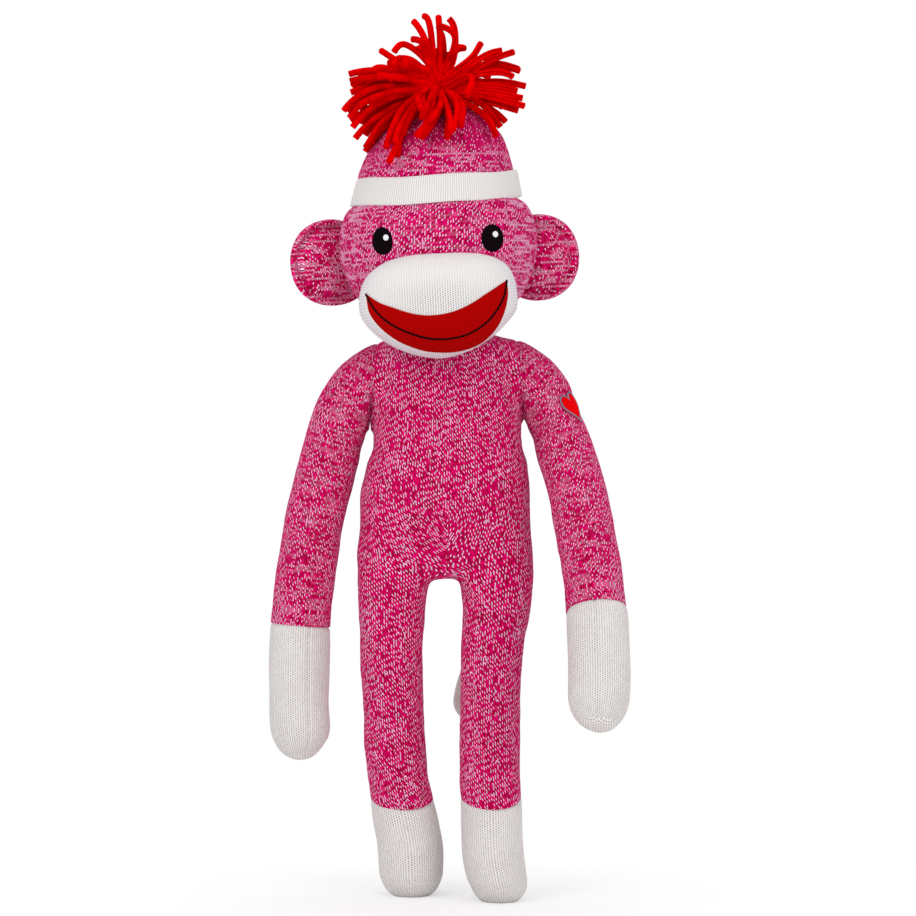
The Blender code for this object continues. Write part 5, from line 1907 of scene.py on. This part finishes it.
# %% The tail
TAIL_LINE = (
    (0.0, 46.5, 223.5), (0.2, 53.0, 223.0), (1.5, 59.5, 219.0), (5.0, 64.0, 209.0), (12.0, 66.0, 193.0),
    (18.8, 66.6, 174.0), (21.4, 66.4, 154.0), (21.4, 65.8, 133.0), (15.2, 64.8, 113.0), (12.4, 64.0, 96.0),
)
TAIL_RADII = ((0, 8.6), (0.04, 7.6), (0.12, 7.6), (0.3, 9.2), (0.6, 10.3), (1.0, 10.3))
TAIL_CUT = (21.4, 65.8, 133.0)
TAIL_CUT_SLOPE = 0.1
TAIL_WALES = 46


def tail_mesh():
    shares = ends_close_together(110)
    places = along_line(TAIL_LINE, shares)
    ahead = unit(np.gradient(places, axis=0))
    side = np.cross(ahead, (0.0, 1.0, 0.0))
    side[:8] = side[8]
    side = unit(side)
    length = distances_along(places)[-1]
    size = at_stations(TAIL_RADII, shares)[:, 0] * rounded((1 - shares) * length, 12)
    size = np.maximum(size, 0.05)
    rings = cross_section(places, side, np.cross(side, ahead), size, size, full_turn(60))
    points, faces, corners = close_tube(rings, -shares * length / COURSE, TAIL_WALES)
    return mapped_mesh("tail", points, faces, {"stitches": corners})


whole_tail = tail_mesh()
for solid, slot, finish, up in (("tail", "marl_knit", MARL_ARM, 1), ("tail_tip", "white_knit", WHITE, -1)):
    part = cut_open(whole_tail, TAIL_CUT, (up * TAIL_CUT_SLOPE, 0, up))
    dress(finish_piece(solid + "_skin", scaled_to_metres(part), finish), "tail", slot, solid, fill=0.7)

# %% [markdown]
# The doll stands on a plain white floor in soft light from large lamps. The world is white only for the
# camera and for reflections, and its light stays plain, so the colours come out as they are written.

# %% Floor, world and lamps
FLOOR_HALF = 3
FLOOR_PAINT = (0.95, 0.95, 0.95, 1)
SHADOW_KEPT, SHADOW_GONE = 0.05, 0.2
WHITE_LIGHT = (1, 1, 1, 1)
WORLD_LEVEL = 0.68
LAMPS = {
    # place, width, power
    "front_left_lamp": ((-1.1, -1.5, 1.3), 1.1, 13.5),
    "front_right_lamp": ((1.2, -1.4, 0.9), 1.1, 9),
    "top_lamp": ((0.0, 0.3, 1.7), 1.0, 5.5),
}
DOLL_MIDDLE = Vector((0, 0, 0.26))


def looked_at(tree):
    """1 for the rays of the camera and of reflections, and 0 for all others."""
    path = add_node(tree, "ShaderNodeLightPath").outputs
    seen = path["Is Camera Ray"]
    for kind in ("Is Glossy Ray", "Is Transmission Ray"):
        seen = add_node(tree, "ShaderNodeMath", {"operation": "MAXIMUM"}, {0: seen, 1: path[kind]}).outputs[0]
    return seen


def floor_finish():
    """White for the camera away from the doll, with the real shadow kept near its feet."""
    finish = Finish("floor", Roughness=0.9, Specular_IOR_Level=0.1, Base_Color=FLOOR_PAINT)
    place = finish.node("ShaderNodeTexCoord", output=3)
    distance = finish.node("ShaderNodeVectorMath", {"operation": "LENGTH"}, {0: place}, output=1)
    glow = finish.node("ShaderNodeEmission", None, {"Color": WHITE_LIGHT, "Strength": 1.0})
    away = distance.between(SHADOW_KEPT, SHADOW_GONE)
    share = Value(finish, looked_at(finish.tree)) * (0.5 + 0.5 * away)
    lit = finish.node("ShaderNodeMixShader", None, {0: share, 1: finish.shader.outputs[0], 2: glow})
    finish.tree.links.new(lit.socket, finish.tree.nodes["Material Output"].inputs["Surface"])
    return finish.material


floor_mesh = bpy.data.meshes.new("floor")
floor_signs = ((-1, -1), (1, -1), (1, 1), (-1, 1))
floor_mesh.from_pydata([(x * FLOOR_HALF, y * FLOOR_HALF, 0) for x, y in floor_signs], [], [(0, 1, 2, 3)])
floor_mesh.materials.append(floor_finish())
floor = bpy.data.objects.new("floor", floor_mesh)
bpy.context.scene.collection.objects.link(floor)


def plain_world(level):
    """White where the camera or a reflection looks, and a plain level of light everywhere."""
    world = bpy.data.worlds.new("studio")
    world.use_nodes = True
    tree = world.node_tree
    tree.nodes.clear()
    light, white = (
        add_node(tree, "ShaderNodeBackground", None, {"Color": WHITE_LIGHT, "Strength": strength}).outputs[0]
        for strength in (level, 1.0)
    )
    choose = add_node(tree, "ShaderNodeMixShader", None, {0: looked_at(tree), 1: light, 2: white})
    add_node(tree, "ShaderNodeOutputWorld", None, {"Surface": choose.outputs[0]})
    return world


bpy.context.scene.world = plain_world(WORLD_LEVEL)


def lamp(name, place, size, power):
    """A large soft lamp that faces the doll's middle."""
    light = bpy.data.lights.new(name, "AREA")
    light.shape = "SQUARE"
    light.size = size
    light.energy = power
    holder = bpy.data.objects.new(name, light)
    holder.location = place
    aim = DOLL_MIDDLE - Vector(place)
    holder.rotation_euler = aim.to_track_quat("-Z", "Y").to_euler()
    bpy.context.scene.collection.objects.link(holder)


for name, (place, size, power) in LAMPS.items():
    lamp(name, place, size, power)
bpy.context.scene.view_settings.view_transform = "Standard"
